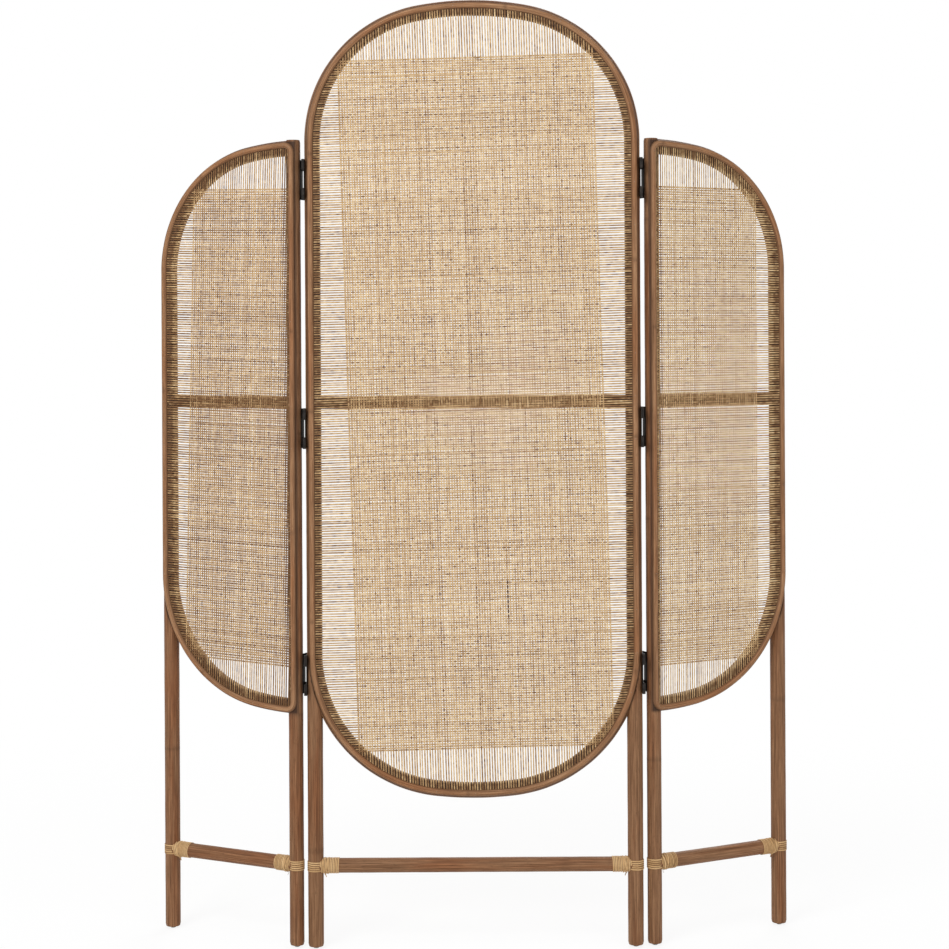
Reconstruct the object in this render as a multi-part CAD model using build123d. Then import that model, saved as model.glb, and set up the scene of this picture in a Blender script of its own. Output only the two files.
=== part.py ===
"""Folding room divider of bent rattan poles, cane webbing and half-round rattan trim.

Three panels: an arched centre panel and two half-width side panels, each hung on the centre
panel by three double-acting hinges. Millimetres, Z up, the front faces -Y. The side panels
are drawn in line with the centre panel first, and then swung back to their standing angle.
"""

import math
import os

from build123d import *

# The screen as it stands
SCREEN_HEIGHT = 1800.0
FOLD_ANGLE = 27.0

# Poles
POLE_RADIUS = 15.0
INNER_LEG_RADIUS = 14.0
STRETCHER_RADIUS = 14.0
RAIL_RADIUS = 12.5
STRETCHER_HEIGHT = 156.0
RAIL_HEIGHT = 1036.0
COPE_CLEARANCE = 0.15
COPE_WING = 5.0
BOW_END_STEP = 9.0

# Feet
GLIDE_HEIGHT = 4.0
GLIDE_RADIUS = 8.0
GLIDE_TREAD_RADIUS = 5.0
FOOT_CHAMFER = 2.0

# Centre panel, measured on the pole axes
LEG_SPACING = 608.0
CENTRE_BOW_HEIGHT = 298.0
CENTRE_CROWN_RADIUS = 552.0
CENTRE_SHOULDER_RADIUS = 247.0
CENTRE_BOW_CROWN_RADIUS = 659.0
CENTRE_BOW_SHOULDER_RADIUS = 260.0

# Side panels, measured on the pole axes
SIDE_LEG_SPACING = 287.0
SIDE_CROWN_HEIGHT = 1521.0
SIDE_BOW_HEIGHT = 457.5
SIDE_CROWN_RADIUS = 585.0
SIDE_SHOULDER_RADIUS = 225.0
SIDE_BOW_SHOULDER_RADIUS = 235.0

# Webbing and trim, on a flat planed along the front of the poles
SEAT_DEPTH = 11.5
WEBBING_THICKNESS = 1.8
WEBBING_INSET = 2.0
TRIM_WIDTH = 12.5
TRIM_CROWN = 6.5
TRIM_THICKNESS = 4.2
TRIM_CORNER_RADIUS = 15.0
CENTRE_TRIM_OFFSET = 3.5
SIDE_TRIM_OFFSET = 5.0
INNER_LEG_TRIM_OFFSET = 3.0
SEAT_MARGIN = 0.3

# Cane lashing at both ends of each stretcher
CANE_THICKNESS = 0.9
CANE_SEAT_GAP = 0.1
COLLAR_HEIGHT = 19.5
WINDING_LENGTH = 28.0
WINDING_START = 1.8

# Double-acting hinges
HINGE_CENTRES = (520.0, 987.0, 1460.0)
HINGE_HEIGHT = 76.0
HINGE_EAR_HEIGHT = 6.0
HINGE_KNUCKLE_HEIGHT = 14.0
HINGE_KNUCKLE_RADIUS = 3.2
HINGE_PIN_RADIUS = 1.7
HINGE_PIN_CLEARANCE = 0.05
HINGE_PLATE_THICKNESS = 1.2
HINGE_PLATE_GAP = 0.3
HINGE_LEAF_REACH = 6.0
HINGE_SIDE_PLAY = 0.3
HINGE_BARREL_SIDES = 12
POLE_GAP_CLEARANCE = 0.4
FOLDED_CLEARANCE = 0.8

# Places that follow from the sizes above
HALF_SPAN = LEG_SPACING / 2
CENTRE_CROWN_HEIGHT = SCREEN_HEIGHT - POLE_RADIUS
COLLAR_BUILD = CANE_THICKNESS + CANE_SEAT_GAP
POLE_GAP = 2 * COLLAR_BUILD + POLE_GAP_CLEARANCE
HINGE_X = HALF_SPAN + POLE_RADIUS + POLE_GAP / 2
SIDE_X = HINGE_X + POLE_GAP / 2 + INNER_LEG_RADIUS
TRIM_BACK = SEAT_DEPTH + WEBBING_THICKNESS
TRIM_FRONT = TRIM_BACK + TRIM_THICKNESS
FRONT_AXIS = TRIM_FRONT + FOLDED_CLEARANCE / 2
REAR_AXIS = (POLE_RADIUS + INNER_LEG_RADIUS + 2 * COLLAR_BUILD + FOLDED_CLEARANCE) / 2
LEAF_SEAT = HINGE_PLATE_THICKNESS * 1.5 + HINGE_PLATE_GAP
INNER_LEG_TOP = SIDE_CROWN_HEIGHT + POLE_RADIUS


def crown_angle(half_span, crown_radius, shoulder_radius):
    """Half angle in degrees of the flat crown arc of a three-centred arch."""
    return math.degrees(math.asin((half_span - shoulder_radius) / (crown_radius - shoulder_radius)))


def arch_rise(half_span, crown_radius, shoulder_radius):
    """Height from the springing of a three-centred arch to its crown."""
    angle = math.radians(crown_angle(half_span, crown_radius, shoulder_radius))
    return crown_radius * (1 - math.cos(angle)) + shoulder_radius * math.cos(angle)


def trace(start, heading, moves):
    """A smooth wire of straight runs, given as lengths, and arcs, given as (radius, turn)."""
    edges, point, direction = [], Vector(*start), Vector(*heading)
    for move in moves:
        if isinstance(move, tuple):
            edge = JernArc(point, direction, move[0], move[1])
        else:
            edge = Line(point, point + direction * move)
        edges.append(edge)
        point, direction = edge @ 1, edge % 1
    return Wire(edges)


def upright(flat_shape, depth=0.0):
    """Stands a shape drawn flat as (across, up) in the panel's plane, depth in front of it."""
    return Plane.XZ.offset(depth) * flat_shape


def pole(path, radius):
    """Round pole along a flat path, stood upright in the panel's plane."""
    wire = upright(path)
    return sweep(Plane(origin=wire @ 0, z_dir=wire % 0) * Circle(radius), path=wire)


def straight_leg(x, radius, top):
    """Vertical pole from its glide up to a flat top, its foot chamfered."""
    leg = Pos(x, 0, GLIDE_HEIGHT) * Cylinder(
        radius, top - GLIDE_HEIGHT, align=(Align.CENTER, Align.CENTER, Align.MIN)
    )
    return chamfer_foot(leg)


def chamfer_foot(leg):
    """Takes the sharp edge off the lowest rims of a leg or a pair of legs."""
    lowest = leg.edges().filter_by(GeomType.CIRCLE).group_by(Axis.Z)[0]
    return chamfer(lowest, FOOT_CHAMFER)


def crossbar(x_from, x_to, y, z, radius):
    """Horizontal round bar between two legs."""
    bar = Cylinder(radius, x_to - x_from)
    return Pos((x_from + x_to) / 2, y, z) * Rot(0, 90, 0) * bar


def upright_cutter(x, radius):
    """Cylinder that copes a bar's end to the leg at x, with a little clearance."""
    return Pos(x, 0, SCREEN_HEIGHT / 2) * Cylinder(radius + COPE_CLEARANCE, SCREEN_HEIGHT * 2)


def ring_outline(half_span, top, bow, grow):
    """Face within a closed ring of two three-centred arches joined by straight sides.

    top and bow are (crown height, crown radius, shoulder radius) on the pole axis, and grow
    moves the whole outline outwards from there.
    """
    top_z, top_crown, top_shoulder = top
    bow_z, bow_crown, bow_shoulder = bow
    top_angle = crown_angle(half_span, top_crown, top_shoulder)
    bow_angle = crown_angle(half_span, bow_crown, bow_shoulder)
    top_spring = top_z - arch_rise(half_span, top_crown, top_shoulder)
    bow_spring = bow_z + arch_rise(half_span, bow_crown, bow_shoulder)
    side = top_spring - bow_spring
    over_top = [
        (top_shoulder + grow, 90 - top_angle),
        (top_crown + grow, 2 * top_angle),
        (top_shoulder + grow, 90 - top_angle),
    ]
    round_bow = [
        (bow_shoulder + grow, 90 - bow_angle),
        (bow_crown + grow, 2 * bow_angle),
        (bow_shoulder + grow, 90 - bow_angle),
    ]
    start = (half_span + grow, bow_spring)
    return make_face(trace(start, (0, 1), [side, *over_top, side, *round_bow]).edges())


CENTRE_TOP = (CENTRE_CROWN_HEIGHT, CENTRE_CROWN_RADIUS, CENTRE_SHOULDER_RADIUS)
CENTRE_BOW = (CENTRE_BOW_HEIGHT, CENTRE_BOW_CROWN_RADIUS, CENTRE_BOW_SHOULDER_RADIUS)
SIDE_TOP = (SIDE_CROWN_HEIGHT, SIDE_CROWN_RADIUS, SIDE_SHOULDER_RADIUS)
SIDE_BOW = (SIDE_BOW_HEIGHT, SIDE_CROWN_RADIUS, SIDE_BOW_SHOULDER_RADIUS)


def centre_outline(grow):
    """Outline of the centre panel's trim, moved outwards from the trim's middle line."""
    return ring_outline(HALF_SPAN, CENTRE_TOP, CENTRE_BOW, CENTRE_TRIM_OFFSET + grow)


def side_outline(grow):
    """Outline of a side panel's trim: half a ring, closed along the inner leg."""
    ring = ring_outline(SIDE_LEG_SPACING, SIDE_TOP, SIDE_BOW, SIDE_TRIM_OFFSET + grow)
    edge = -INNER_LEG_TRIM_OFFSET - grow
    half = ring & Pos(edge, 0) * Rectangle(
        2 * SIDE_LEG_SPACING, 2 * SCREEN_HEIGHT, align=(Align.MIN, Align.CENTER)
    )
    corners = half.vertices().group_by(Axis.X)[0]
    return fillet(corners, TRIM_CORNER_RADIUS + grow)


def seat_cutter(outline):
    """Planes the front of the poles flat wherever webbing and trim lie on them."""
    face = outline(TRIM_WIDTH / 2 + SEAT_MARGIN)
    return extrude(upright(face, SEAT_DEPTH), POLE_RADIUS)


def webbing_sheet(outline):
    """The woven cane, as a plain sheet whose edge ends under the trim."""
    return extrude(upright(outline(TRIM_WIDTH / 2 - WEBBING_INSET), SEAT_DEPTH), WEBBING_THICKNESS)


def trim_strip(outline):
    """Half-round strip laid on the webbing's edge all the way round."""
    path = upright(outline(0).face().outer_wire(), TRIM_BACK)
    half, crown = TRIM_WIDTH / 2, TRIM_CROWN / 2
    section = make_face(
        Polyline((-half, 0), (half, 0), (crown, TRIM_THICKNESS), (-crown, TRIM_THICKNESS), (-half, 0))
    )
    along = path % 0
    across = Vector(0, -1, 0).cross(along)
    return sweep(Plane(origin=path @ 0, x_dir=across, z_dir=along) * section, path=path)


def bent_pole(x_span, top, path_moves):
    """Legs and arch bent from one pole, starting at the foot of the right-hand leg."""
    return chamfer_foot(pole(trace((x_span, GLIDE_HEIGHT), (0, 1), path_moves(top)), POLE_RADIUS))


def centre_arch_moves(top):
    """Up the right leg, over the crown and down the left leg."""
    top_z, crown, shoulder = top
    angle = crown_angle(HALF_SPAN, crown, shoulder)
    leg = top_z - arch_rise(HALF_SPAN, crown, shoulder) - GLIDE_HEIGHT
    return [leg, (shoulder, 90 - angle), (crown, 2 * angle), (shoulder, 90 - angle), leg]


def side_arch_moves(top):
    """Up the outer leg and over to the inner leg, short of it by the cope."""
    top_z, crown, shoulder = top
    angle = crown_angle(SIDE_LEG_SPACING, crown, shoulder)
    leg = top_z - arch_rise(SIDE_LEG_SPACING, crown, shoulder) - GLIDE_HEIGHT
    wing = math.degrees(math.asin(COPE_WING / crown))
    return [leg, (shoulder, 90 - angle), (crown, angle - wing)]


def bow_end_angle(shoulder):
    """Angle before the springing at which a bow ends, let in against its leg."""
    return math.degrees(math.acos(1 - BOW_END_STEP / shoulder))


def centre_bow_pole():
    """U-shaped bow between the centre legs, its ends coped against them."""
    height, crown, shoulder = CENTRE_BOW
    angle = crown_angle(HALF_SPAN, crown, shoulder)
    turn = 90 - angle - bow_end_angle(shoulder)
    half = trace((0, height), (1, 0), [(crown, angle), (shoulder, turn)])
    path = Wire([*mirror(half, about=Plane.YZ).edges(), *half.edges()])
    bow = pole(path, POLE_RADIUS)
    for x in (-HALF_SPAN, HALF_SPAN):
        bow -= upright_cutter(x, POLE_RADIUS)
    return bow


def side_bow_pole():
    """Half bow between the inner and the outer leg of a side panel."""
    height, crown, shoulder = SIDE_BOW
    angle = crown_angle(SIDE_LEG_SPACING, crown, shoulder)
    wing = math.asin(COPE_WING / crown)
    start = (COPE_WING, height + crown * (1 - math.cos(wing)))
    heading = (math.cos(wing), math.sin(wing))
    turn = 90 - angle - bow_end_angle(shoulder)
    path = trace(start, heading, [(crown, angle - math.degrees(wing)), (shoulder, turn)])
    bow = pole(path, POLE_RADIUS) - upright_cutter(0, INNER_LEG_RADIUS)
    return bow - upright_cutter(SIDE_LEG_SPACING, POLE_RADIUS)


def coped_bar(span, y, z, radius, left_radius, right_radius, left_x=0.0):
    """Crossbar whose two ends are hollowed to fit against round legs."""
    bar = crossbar(left_x, left_x + span, y, z, radius)
    bar -= upright_cutter(left_x, left_radius)
    return bar - upright_cutter(left_x + span, right_radius)


RAIL_Y = RAIL_RADIUS + CANE_SEAT_GAP - SEAT_DEPTH


def glide(x):
    """Nailed glide under a leg, narrowing to its tread."""
    return Pos(x, 0, 0) * Cone(
        GLIDE_TREAD_RADIUS, GLIDE_RADIUS, GLIDE_HEIGHT, align=(Align.CENTER, Align.CENTER, Align.MIN)
    )


def sleeve(inner_radius, length):
    """Thin tube of cane strip along +X, standing clear of the pole inside it."""
    seat_radius = inner_radius + CANE_SEAT_GAP
    along = (Align.CENTER, Align.CENTER, Align.MIN)
    tube = Cylinder(seat_radius + CANE_THICKNESS, length, align=along)
    return Rot(0, 90, 0) * (tube - Cylinder(seat_radius, length, align=along))


def lashing(x, leg_radius, towards):
    """Cane collar round the leg and winding round the stretcher's end beside it."""
    collar = Rot(0, -90, 0) * Pos(-COLLAR_HEIGHT / 2, 0, 0) * sleeve(leg_radius, COLLAR_HEIGHT)
    notch_radius = STRETCHER_RADIUS + CANE_SEAT_GAP
    collar -= Rot(0, 90, 0) * Cylinder(
        notch_radius, 3 * leg_radius, align=(Align.CENTER, Align.CENTER, Align.MIN)
    )
    turns = Pos(leg_radius + WINDING_START, 0, 0) * sleeve(STRETCHER_RADIUS, WINDING_LENGTH)
    pair = [collar, turns] if towards > 0 else [mirror(s, about=Plane.YZ) for s in (collar, turns)]
    return [Pos(x, 0, STRETCHER_HEIGHT) * solid for solid in pair]


def leaf_seats(x_side):
    """Flats planed on a leg for the hinge leaves; x_side is which side of the gap."""
    depth = POLE_RADIUS
    cutters = []
    for z in HINGE_CENTRES:
        block = Box(depth, 2 * POLE_RADIUS, HINGE_HEIGHT + 2 * HINGE_SIDE_PLAY)
        cutters.append(Pos(HINGE_X + x_side * (LEAF_SEAT - depth / 2), 0, z) * block)
    return cutters


def both_ends(shape):
    """A hinge has the same knuckles at its top and its bottom end."""
    return [shape, mirror(shape, about=Plane.XY)]


def barrel(radius, height, is_hole=False):
    """Upright barrel of a hinge, drawn with a few sides because it is small and repeats.

    A knuckle has its corners on the radius, and a hole round a pin has its flats there.
    """
    return extrude(RegularPolygon(radius, HINGE_BARREL_SIDES, major_radius=not is_hole), height)


def knuckle(y):
    """Barrel of one leaf at the hinge's top end, on the axis at depth y, before it is bored."""
    low = HINGE_HEIGHT / 2 - HINGE_EAR_HEIGHT - HINGE_SIDE_PLAY - HINGE_KNUCKLE_HEIGHT
    return Pos(0, y, low) * barrel(HINGE_KNUCKLE_RADIUS, HINGE_KNUCKLE_HEIGHT)


def leaf(side, axis_y):
    """Leaf screwed to a leg, with a knuckle near each end; side is -1 or +1 along X."""
    toward_axis = math.copysign(1, axis_y)
    near = axis_y - toward_axis * (HINGE_KNUCKLE_RADIUS + HINGE_SIDE_PLAY)
    far = -toward_axis * HINGE_LEAF_REACH
    middle_x = side * (LEAF_SEAT - HINGE_PLATE_THICKNESS / 2)
    plate = Pos(middle_x, (near + far) / 2, 0) * Box(
        HINGE_PLATE_THICKNESS, abs(near - far), HINGE_HEIGHT
    )
    bridge_height = HINGE_KNUCKLE_HEIGHT
    bridge_z = HINGE_HEIGHT / 2 - HINGE_EAR_HEIGHT - HINGE_SIDE_PLAY - bridge_height / 2
    bridge = Pos(middle_x, (near + axis_y) / 2, bridge_z) * Box(
        HINGE_PLATE_THICKNESS, abs(near - axis_y), bridge_height
    )
    shape = plate
    for part in (*both_ends(bridge), *both_ends(knuckle(axis_y))):
        shape += part
    bore_radius = HINGE_PIN_RADIUS + HINGE_PIN_CLEARANCE
    return shape - Pos(0, axis_y, -HINGE_HEIGHT / 2) * barrel(bore_radius, HINGE_HEIGHT, is_hole=True)


def link():
    """Middle plate between the two leaves, with a pin along each edge at both ends."""
    clear = HINGE_KNUCKLE_RADIUS + HINGE_SIDE_PLAY
    low, high = -FRONT_AXIS + clear, REAR_AXIS - clear
    shape = Pos(0, (low + high) / 2, 0) * Box(HINGE_PLATE_THICKNESS, high - low, HINGE_HEIGHT)
    ear = Pos(0, (REAR_AXIS - FRONT_AXIS) / 2, (HINGE_HEIGHT - HINGE_EAR_HEIGHT) / 2) * Box(
        HINGE_PLATE_THICKNESS, FRONT_AXIS + REAR_AXIS, HINGE_EAR_HEIGHT
    )
    pin_length = HINGE_EAR_HEIGHT + HINGE_KNUCKLE_HEIGHT
    pins = [
        Pos(0, y, (HINGE_HEIGHT - pin_length) / 2) * Cylinder(HINGE_PIN_RADIUS, pin_length)
        for y in (-FRONT_AXIS, REAR_AXIS)
    ]
    for part in (ear, *pins):
        for copy in both_ends(part):
            shape += copy
    return shape


def hinge_set(shape):
    """The same hinge piece at each of the three heights."""
    return [Pos(HINGE_X, 0, z) * shape for z in HINGE_CENTRES]


def centre_panel():
    """Pieces of the centre panel."""
    seat = seat_cutter(centre_outline)
    arch = bent_pole(HALF_SPAN, CENTRE_TOP, centre_arch_moves) - seat
    for cutter in leaf_seats(-1):
        arch = arch - cutter - mirror(cutter, about=Plane.YZ)
    stretcher = coped_bar(
        LEG_SPACING, 0, STRETCHER_HEIGHT, STRETCHER_RADIUS, POLE_RADIUS, POLE_RADIUS, -HALF_SPAN
    )
    rail = coped_bar(
        LEG_SPACING, RAIL_Y, RAIL_HEIGHT, RAIL_RADIUS, POLE_RADIUS, POLE_RADIUS, -HALF_SPAN
    )
    return {
        "centre_bent_poles": [arch, centre_bow_pole() - seat],
        "centre_mid_rail": [rail],
        "centre_stretcher": [stretcher],
        "centre_webbing": [webbing_sheet(centre_outline)],
        "centre_trim": [trim_strip(centre_outline)],
        "centre_lashings": lashing(-HALF_SPAN, POLE_RADIUS, 1) + lashing(HALF_SPAN, POLE_RADIUS, -1),
        "centre_foot_glides": [glide(-HALF_SPAN), glide(HALF_SPAN)],
    }


def side_panel():
    """Pieces of the right side panel, in line with the centre panel, inner leg at x = 0."""
    seat = seat_cutter(side_outline)
    outer = SIDE_LEG_SPACING
    arch = bent_pole(outer, SIDE_TOP, side_arch_moves) - upright_cutter(0, INNER_LEG_RADIUS) - seat
    inner = straight_leg(0, INNER_LEG_RADIUS, INNER_LEG_TOP) - seat
    for cutter in leaf_seats(1):
        inner -= Pos(-SIDE_X, 0, 0) * cutter
    return {
        "inner_leg": [inner],
        "bent_poles": [arch, side_bow_pole() - seat],
        "mid_rail": [
            coped_bar(outer, RAIL_Y, RAIL_HEIGHT, RAIL_RADIUS, INNER_LEG_RADIUS, POLE_RADIUS)
        ],
        "stretcher": [
            coped_bar(outer, 0, STRETCHER_HEIGHT, STRETCHER_RADIUS, INNER_LEG_RADIUS, POLE_RADIUS)
        ],
        "webbing": [webbing_sheet(side_outline)],
        "trim": [trim_strip(side_outline)],
        "lashings": lashing(0, INNER_LEG_RADIUS, 1) + lashing(outer, POLE_RADIUS, -1),
        "foot_glides": [glide(0), glide(outer)],
    }


def folded(shape):
    """Swings a right-hand piece back about the rear hinge pins to its standing angle."""
    axis = Location((HINGE_X, REAR_AXIS, 0), (0, 0, FOLD_ANGLE))
    return axis * Location((-HINGE_X, -REAR_AXIS, 0)) * shape


def screen():
    """Every piece of the screen by name, at its standing place."""
    pieces = centre_panel()
    right = {name: [Pos(SIDE_X, 0, 0) * s for s in solids] for name, solids in side_panel().items()}
    right["hinge_leaves"] = hinge_set(leaf(1, REAR_AXIS))
    right = {f"{name}": [folded(s) for s in solids] for name, solids in right.items()}
    right["hinge_links"] = hinge_set(link())
    right["centre_hinge_leaves"] = hinge_set(leaf(-1, -FRONT_AXIS))
    for name, solids in right.items():
        pieces[f"right_{name}"] = solids
        pieces[f"left_{name}"] = [mirror(s, about=Plane.YZ) for s in solids]
    return pieces


def depth_middle():
    """Middle of the standing screen's depth, from the front hinge pins to the outer legs."""
    angle = math.radians(FOLD_ANGLE)
    reach = SIDE_X - HINGE_X + SIDE_LEG_SPACING
    outer_leg = REAR_AXIS + reach * math.sin(angle) - REAR_AXIS * math.cos(angle)
    back = outer_leg + POLE_RADIUS + COLLAR_BUILD
    front = -FRONT_AXIS - HINGE_KNUCKLE_RADIUS
    return (front + back) / 2


def main():
    """Writes one file for each named piece, with the origin under the middle of the screen."""
    os.makedirs("parts", exist_ok=True)
    to_origin = Pos(0, -depth_middle(), 0)
    for name, solids in screen().items():
        placed = [to_origin * solid for solid in solids]
        export_step(placed[0] if len(placed) == 1 else Compound(children=placed), f"parts/{name}.step")


main()
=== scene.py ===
"""Looks of a three-panel folding screen of bent rattan, open cane weave and split-cane trim.

Every surface is worked out in millimetres in the straight position, in which the side panels
stand in line with the centre panel: x across, y to the back, z up. A Placement then swings a
side panel back to its standing angle, mirrors it to the left and turns it into metres.
"""

import logging
import math
from dataclasses import dataclass, field
from enum import Enum

import bpy
import numpy as np
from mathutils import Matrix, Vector


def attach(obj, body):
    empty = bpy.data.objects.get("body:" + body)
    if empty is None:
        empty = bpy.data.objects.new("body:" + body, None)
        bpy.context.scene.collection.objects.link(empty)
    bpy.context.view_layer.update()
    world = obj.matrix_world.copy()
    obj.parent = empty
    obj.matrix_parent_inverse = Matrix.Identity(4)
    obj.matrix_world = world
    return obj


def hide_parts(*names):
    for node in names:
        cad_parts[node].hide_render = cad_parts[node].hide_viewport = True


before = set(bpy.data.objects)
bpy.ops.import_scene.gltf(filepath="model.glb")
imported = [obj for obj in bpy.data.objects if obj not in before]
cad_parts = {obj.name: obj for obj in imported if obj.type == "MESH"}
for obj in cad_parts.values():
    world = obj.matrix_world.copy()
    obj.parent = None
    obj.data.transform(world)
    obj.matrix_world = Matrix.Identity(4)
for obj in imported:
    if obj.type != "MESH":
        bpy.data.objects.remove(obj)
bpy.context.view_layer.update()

Array = np.ndarray
Color = tuple[float, float, float]
Point = tuple[float, float, float]
Move = float | tuple[float, float]
# Cross-sections (section, place round it, and x, y, z) and the grain coordinates on them.
Skin = tuple[Array, Array]

LOG = logging.getLogger("rattan_screen")
MM = 0.001
QUARTER = math.pi / 2
TRIANGLES_PER_PIECE = 180_000
RIPPLE_LENGTHS = (310.0, 130.0, 57.0)
RIPPLE_STRETCH = (0.85, 1.2)
RING_COUNT = 16
RING_SPACING = (330, 620)
RING_LEAD = (40, 300)
RING_WIDTH = 3.5
STRIP_SECTION = np.array([[1, 0.1], [0.55, 1], [-0.55, 1], [-1, 0.1], [-0.9, -1], [0.9, -1]])


class Side(Enum):
    """The two side panels."""

    LEFT = "left"
    RIGHT = "right"


@dataclass(frozen=True)
class Sizes:
    """Sizes of the screen in millimetres, on the pole axes where nothing else is said."""

    height: float = 1800.0
    fold: float = math.radians(27.0)
    pole: float = 15.0
    inner_leg: float = 14.0
    stretcher: float = 14.0
    rail: float = 12.5
    stretcher_height: float = 156.0
    rail_height: float = 1036.0
    half_span: float = 304.0
    side_span: float = 287.0
    seat: float = 11.5
    weave_depth: float = 12.3
    trim_width: float = 12.5
    trim_front: float = 17.5
    glide: float = 4.0
    leg_top: float = 1536.0
    cane: float = 0.9
    cane_gap: float = 0.1
    pole_gap: float = 2.4
    fold_clearance: float = 0.8
    knuckle: float = 3.2
    rail_gap: float = 0.1

    @property
    def rail_behind(self) -> float:
        """How far the middle rail's axis lies behind the pole axes, clear of the weave."""
        return self.rail + self.rail_gap - self.seat

    @property
    def hinge_x(self) -> float:
        """Middle of the gap between the centre leg and the side panel's inner leg."""
        return self.half_span + self.pole + self.pole_gap / 2

    @property
    def side_x(self) -> float:
        """Axis of the inner leg while the panels stand in line."""
        return self.hinge_x + self.pole_gap / 2 + self.inner_leg

    @property
    def front_axis(self) -> float:
        """Depth of the front hinge pins in front of the pole axes."""
        return self.trim_front + self.fold_clearance / 2

    @property
    def rear_axis(self) -> float:
        """Depth of the rear hinge pins behind the pole axes."""
        build = 2 * (self.cane + self.cane_gap)
        return (self.pole + self.inner_leg + build + self.fold_clearance) / 2

    @property
    def depth_middle(self) -> float:
        """Middle of the standing screen's depth, which the frame puts at y = 0."""
        reach = self.side_x - self.hinge_x + self.side_span
        outer = self.rear_axis + reach * math.sin(self.fold) - self.rear_axis * math.cos(self.fold)
        back = outer + self.pole + self.cane + self.cane_gap
        return (back - self.front_axis - self.knuckle) / 2


SIZES = Sizes()


@dataclass(frozen=True)
class Placement:
    """How a piece drawn in the straight position comes to stand in the row frame."""

    folded: bool = False
    mirrored: bool = False
    shift: float = 0.0

    def place(self, points: Array) -> Array:
        """Turns drawn points into row points.

        A folded piece turns about the rear hinge pins by the standing angle: with (dx, dy) from
        the pins, x' = dx cos a - dy sin a and y' = dx sin a + dy cos a.

        Args:
            points: drawn points in millimetres, with x, y, z last.

        Returns:
            The same points in metres in the row frame.
        """
        x, y, z = points[..., 0] + self.shift, points[..., 1], points[..., 2]
        if self.folded:
            dx, dy = x - SIZES.hinge_x, y - SIZES.rear_axis
            cos, sin = math.cos(SIZES.fold), math.sin(SIZES.fold)
            x = SIZES.hinge_x + dx * cos - dy * sin
            y = SIZES.rear_axis + dx * sin + dy * cos
        if self.mirrored:
            x = -x
        return np.stack([x, y - SIZES.depth_middle, z], axis=-1) * MM


@dataclass(frozen=True)
class Arch:
    """Three-centred arch: a flat crown arc between two rounder shoulders."""

    crown_height: float
    crown: float
    shoulder: float
    half_span: float
    upward: bool = True

    @property
    def angle(self) -> float:
        """Half angle of the crown arc."""
        return math.asin((self.half_span - self.shoulder) / (self.crown - self.shoulder))

    @property
    def rise(self) -> float:
        """Height from the springing to the crown."""
        return self.crown * (1 - math.cos(self.angle)) + self.shoulder * math.cos(self.angle)

    @property
    def spring(self) -> float:
        """Height at which the arch meets its straight legs."""
        return self.crown_height - self.rise if self.upward else self.crown_height + self.rise

    def outside(self, across: Array, up: Array) -> Array:
        """Distance outwards from the arch line, negative inside it.

        Beyond the springing it is the distance to the crown's centre less the crown radius
        within the crown's angle, and the same for the shoulder elsewhere.

        Args:
            across: places across the panel, from its middle or its inner leg.
            up: heights.

        Returns:
            The signed distances.
        """
        sign = 1.0 if self.upward else -1.0
        lift = (up - self.spring) * sign
        wide = np.abs(across)
        crown_centre = self.rise - self.crown
        over_crown = np.arctan2(wide, lift - crown_centre) < self.angle
        to_crown = np.hypot(wide, lift - crown_centre) - self.crown
        to_shoulder = np.hypot(wide - (self.half_span - self.shoulder), lift) - self.shoulder
        bent = np.where(over_crown, to_crown, to_shoulder)
        return np.where(lift > 0, bent, wide - self.half_span)


@dataclass(frozen=True)
class Ring:
    """The closed line of a panel: an arch over a bow, and for a side panel only half of both.

    The trim's middle lies trim_offset outside the pole axes, and leg_offset outside the inner
    leg's axis. It turns at that leg on an arc with the corner radius.
    """

    top: Arch
    bow: Arch
    trim_offset: float
    is_half: bool = False
    leg_offset: float = 3.0
    corner: float = 15.0

    def outside(self, across: Array, up: Array) -> Array:
        """Distance outwards from the line that the trim's middle follows.

        Args:
            across: places across the panel.
            up: heights.

        Returns:
            The signed distances, the largest of those to the arch, the bow and the inner leg.
        """
        top, bow = self.top.outside(across, up), self.bow.outside(across, up)
        far = np.maximum(top, bow) - self.trim_offset
        if self.is_half:
            far = np.maximum(far, -across - self.leg_offset)
        return far

    def trim_moves(self) -> tuple[tuple[float, float], list[Move]]:
        """The trim's middle line, anticlockwise round the panel.

        Returns:
            Its start beside the outer leg, where the bow springs, and the moves from there.
        """
        top, bow, grow = self.top, self.bow, self.trim_offset
        side = top.spring - bow.spring
        start = (top.half_span + grow, bow.spring)
        over = (top.shoulder + grow, QUARTER - top.angle)
        under = (bow.shoulder + grow, QUARTER - bow.angle)
        if not self.is_half:
            crown = (top.crown + grow, 2 * top.angle)
            low = (bow.crown + grow, 2 * bow.angle)
            return start, [side, over, crown, over, side, under, low, under]
        inset = self.corner - self.leg_offset
        top_reach, bow_reach = top.crown + grow - self.corner, bow.crown + grow - self.corner
        top_tip, bow_tip = math.asin(inset / top_reach), math.asin(inset / bow_reach)
        top_z = top.crown_height - top.crown + top_reach * math.cos(top_tip)
        bow_z = bow.crown_height + bow.crown - bow_reach * math.cos(bow_tip)
        return start, [
            side,
            over,
            (top.crown + grow, top.angle - top_tip),
            (self.corner, QUARTER + top_tip),
            top_z - bow_z,
            (self.corner, QUARTER + bow_tip),
            (bow.crown + grow, bow.angle - bow_tip),
            under,
        ]


CENTRE_RING = Ring(
    Arch(SIZES.height - SIZES.pole, 552.0, 247.0, SIZES.half_span),
    Arch(298.0, 659.0, 260.0, SIZES.half_span, upward=False),
    trim_offset=3.5,
)
SIDE_RING = Ring(
    Arch(1521.0, 585.0, 225.0, SIZES.side_span),
    Arch(457.5, 585.0, 235.0, SIZES.side_span, upward=False),
    trim_offset=5.0,
    is_half=True,
)


@dataclass
class Line:
    """A sampled line in a panel's plane: places, directions and the length run so far."""

    points: Array
    along: Array
    run: Array


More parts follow.
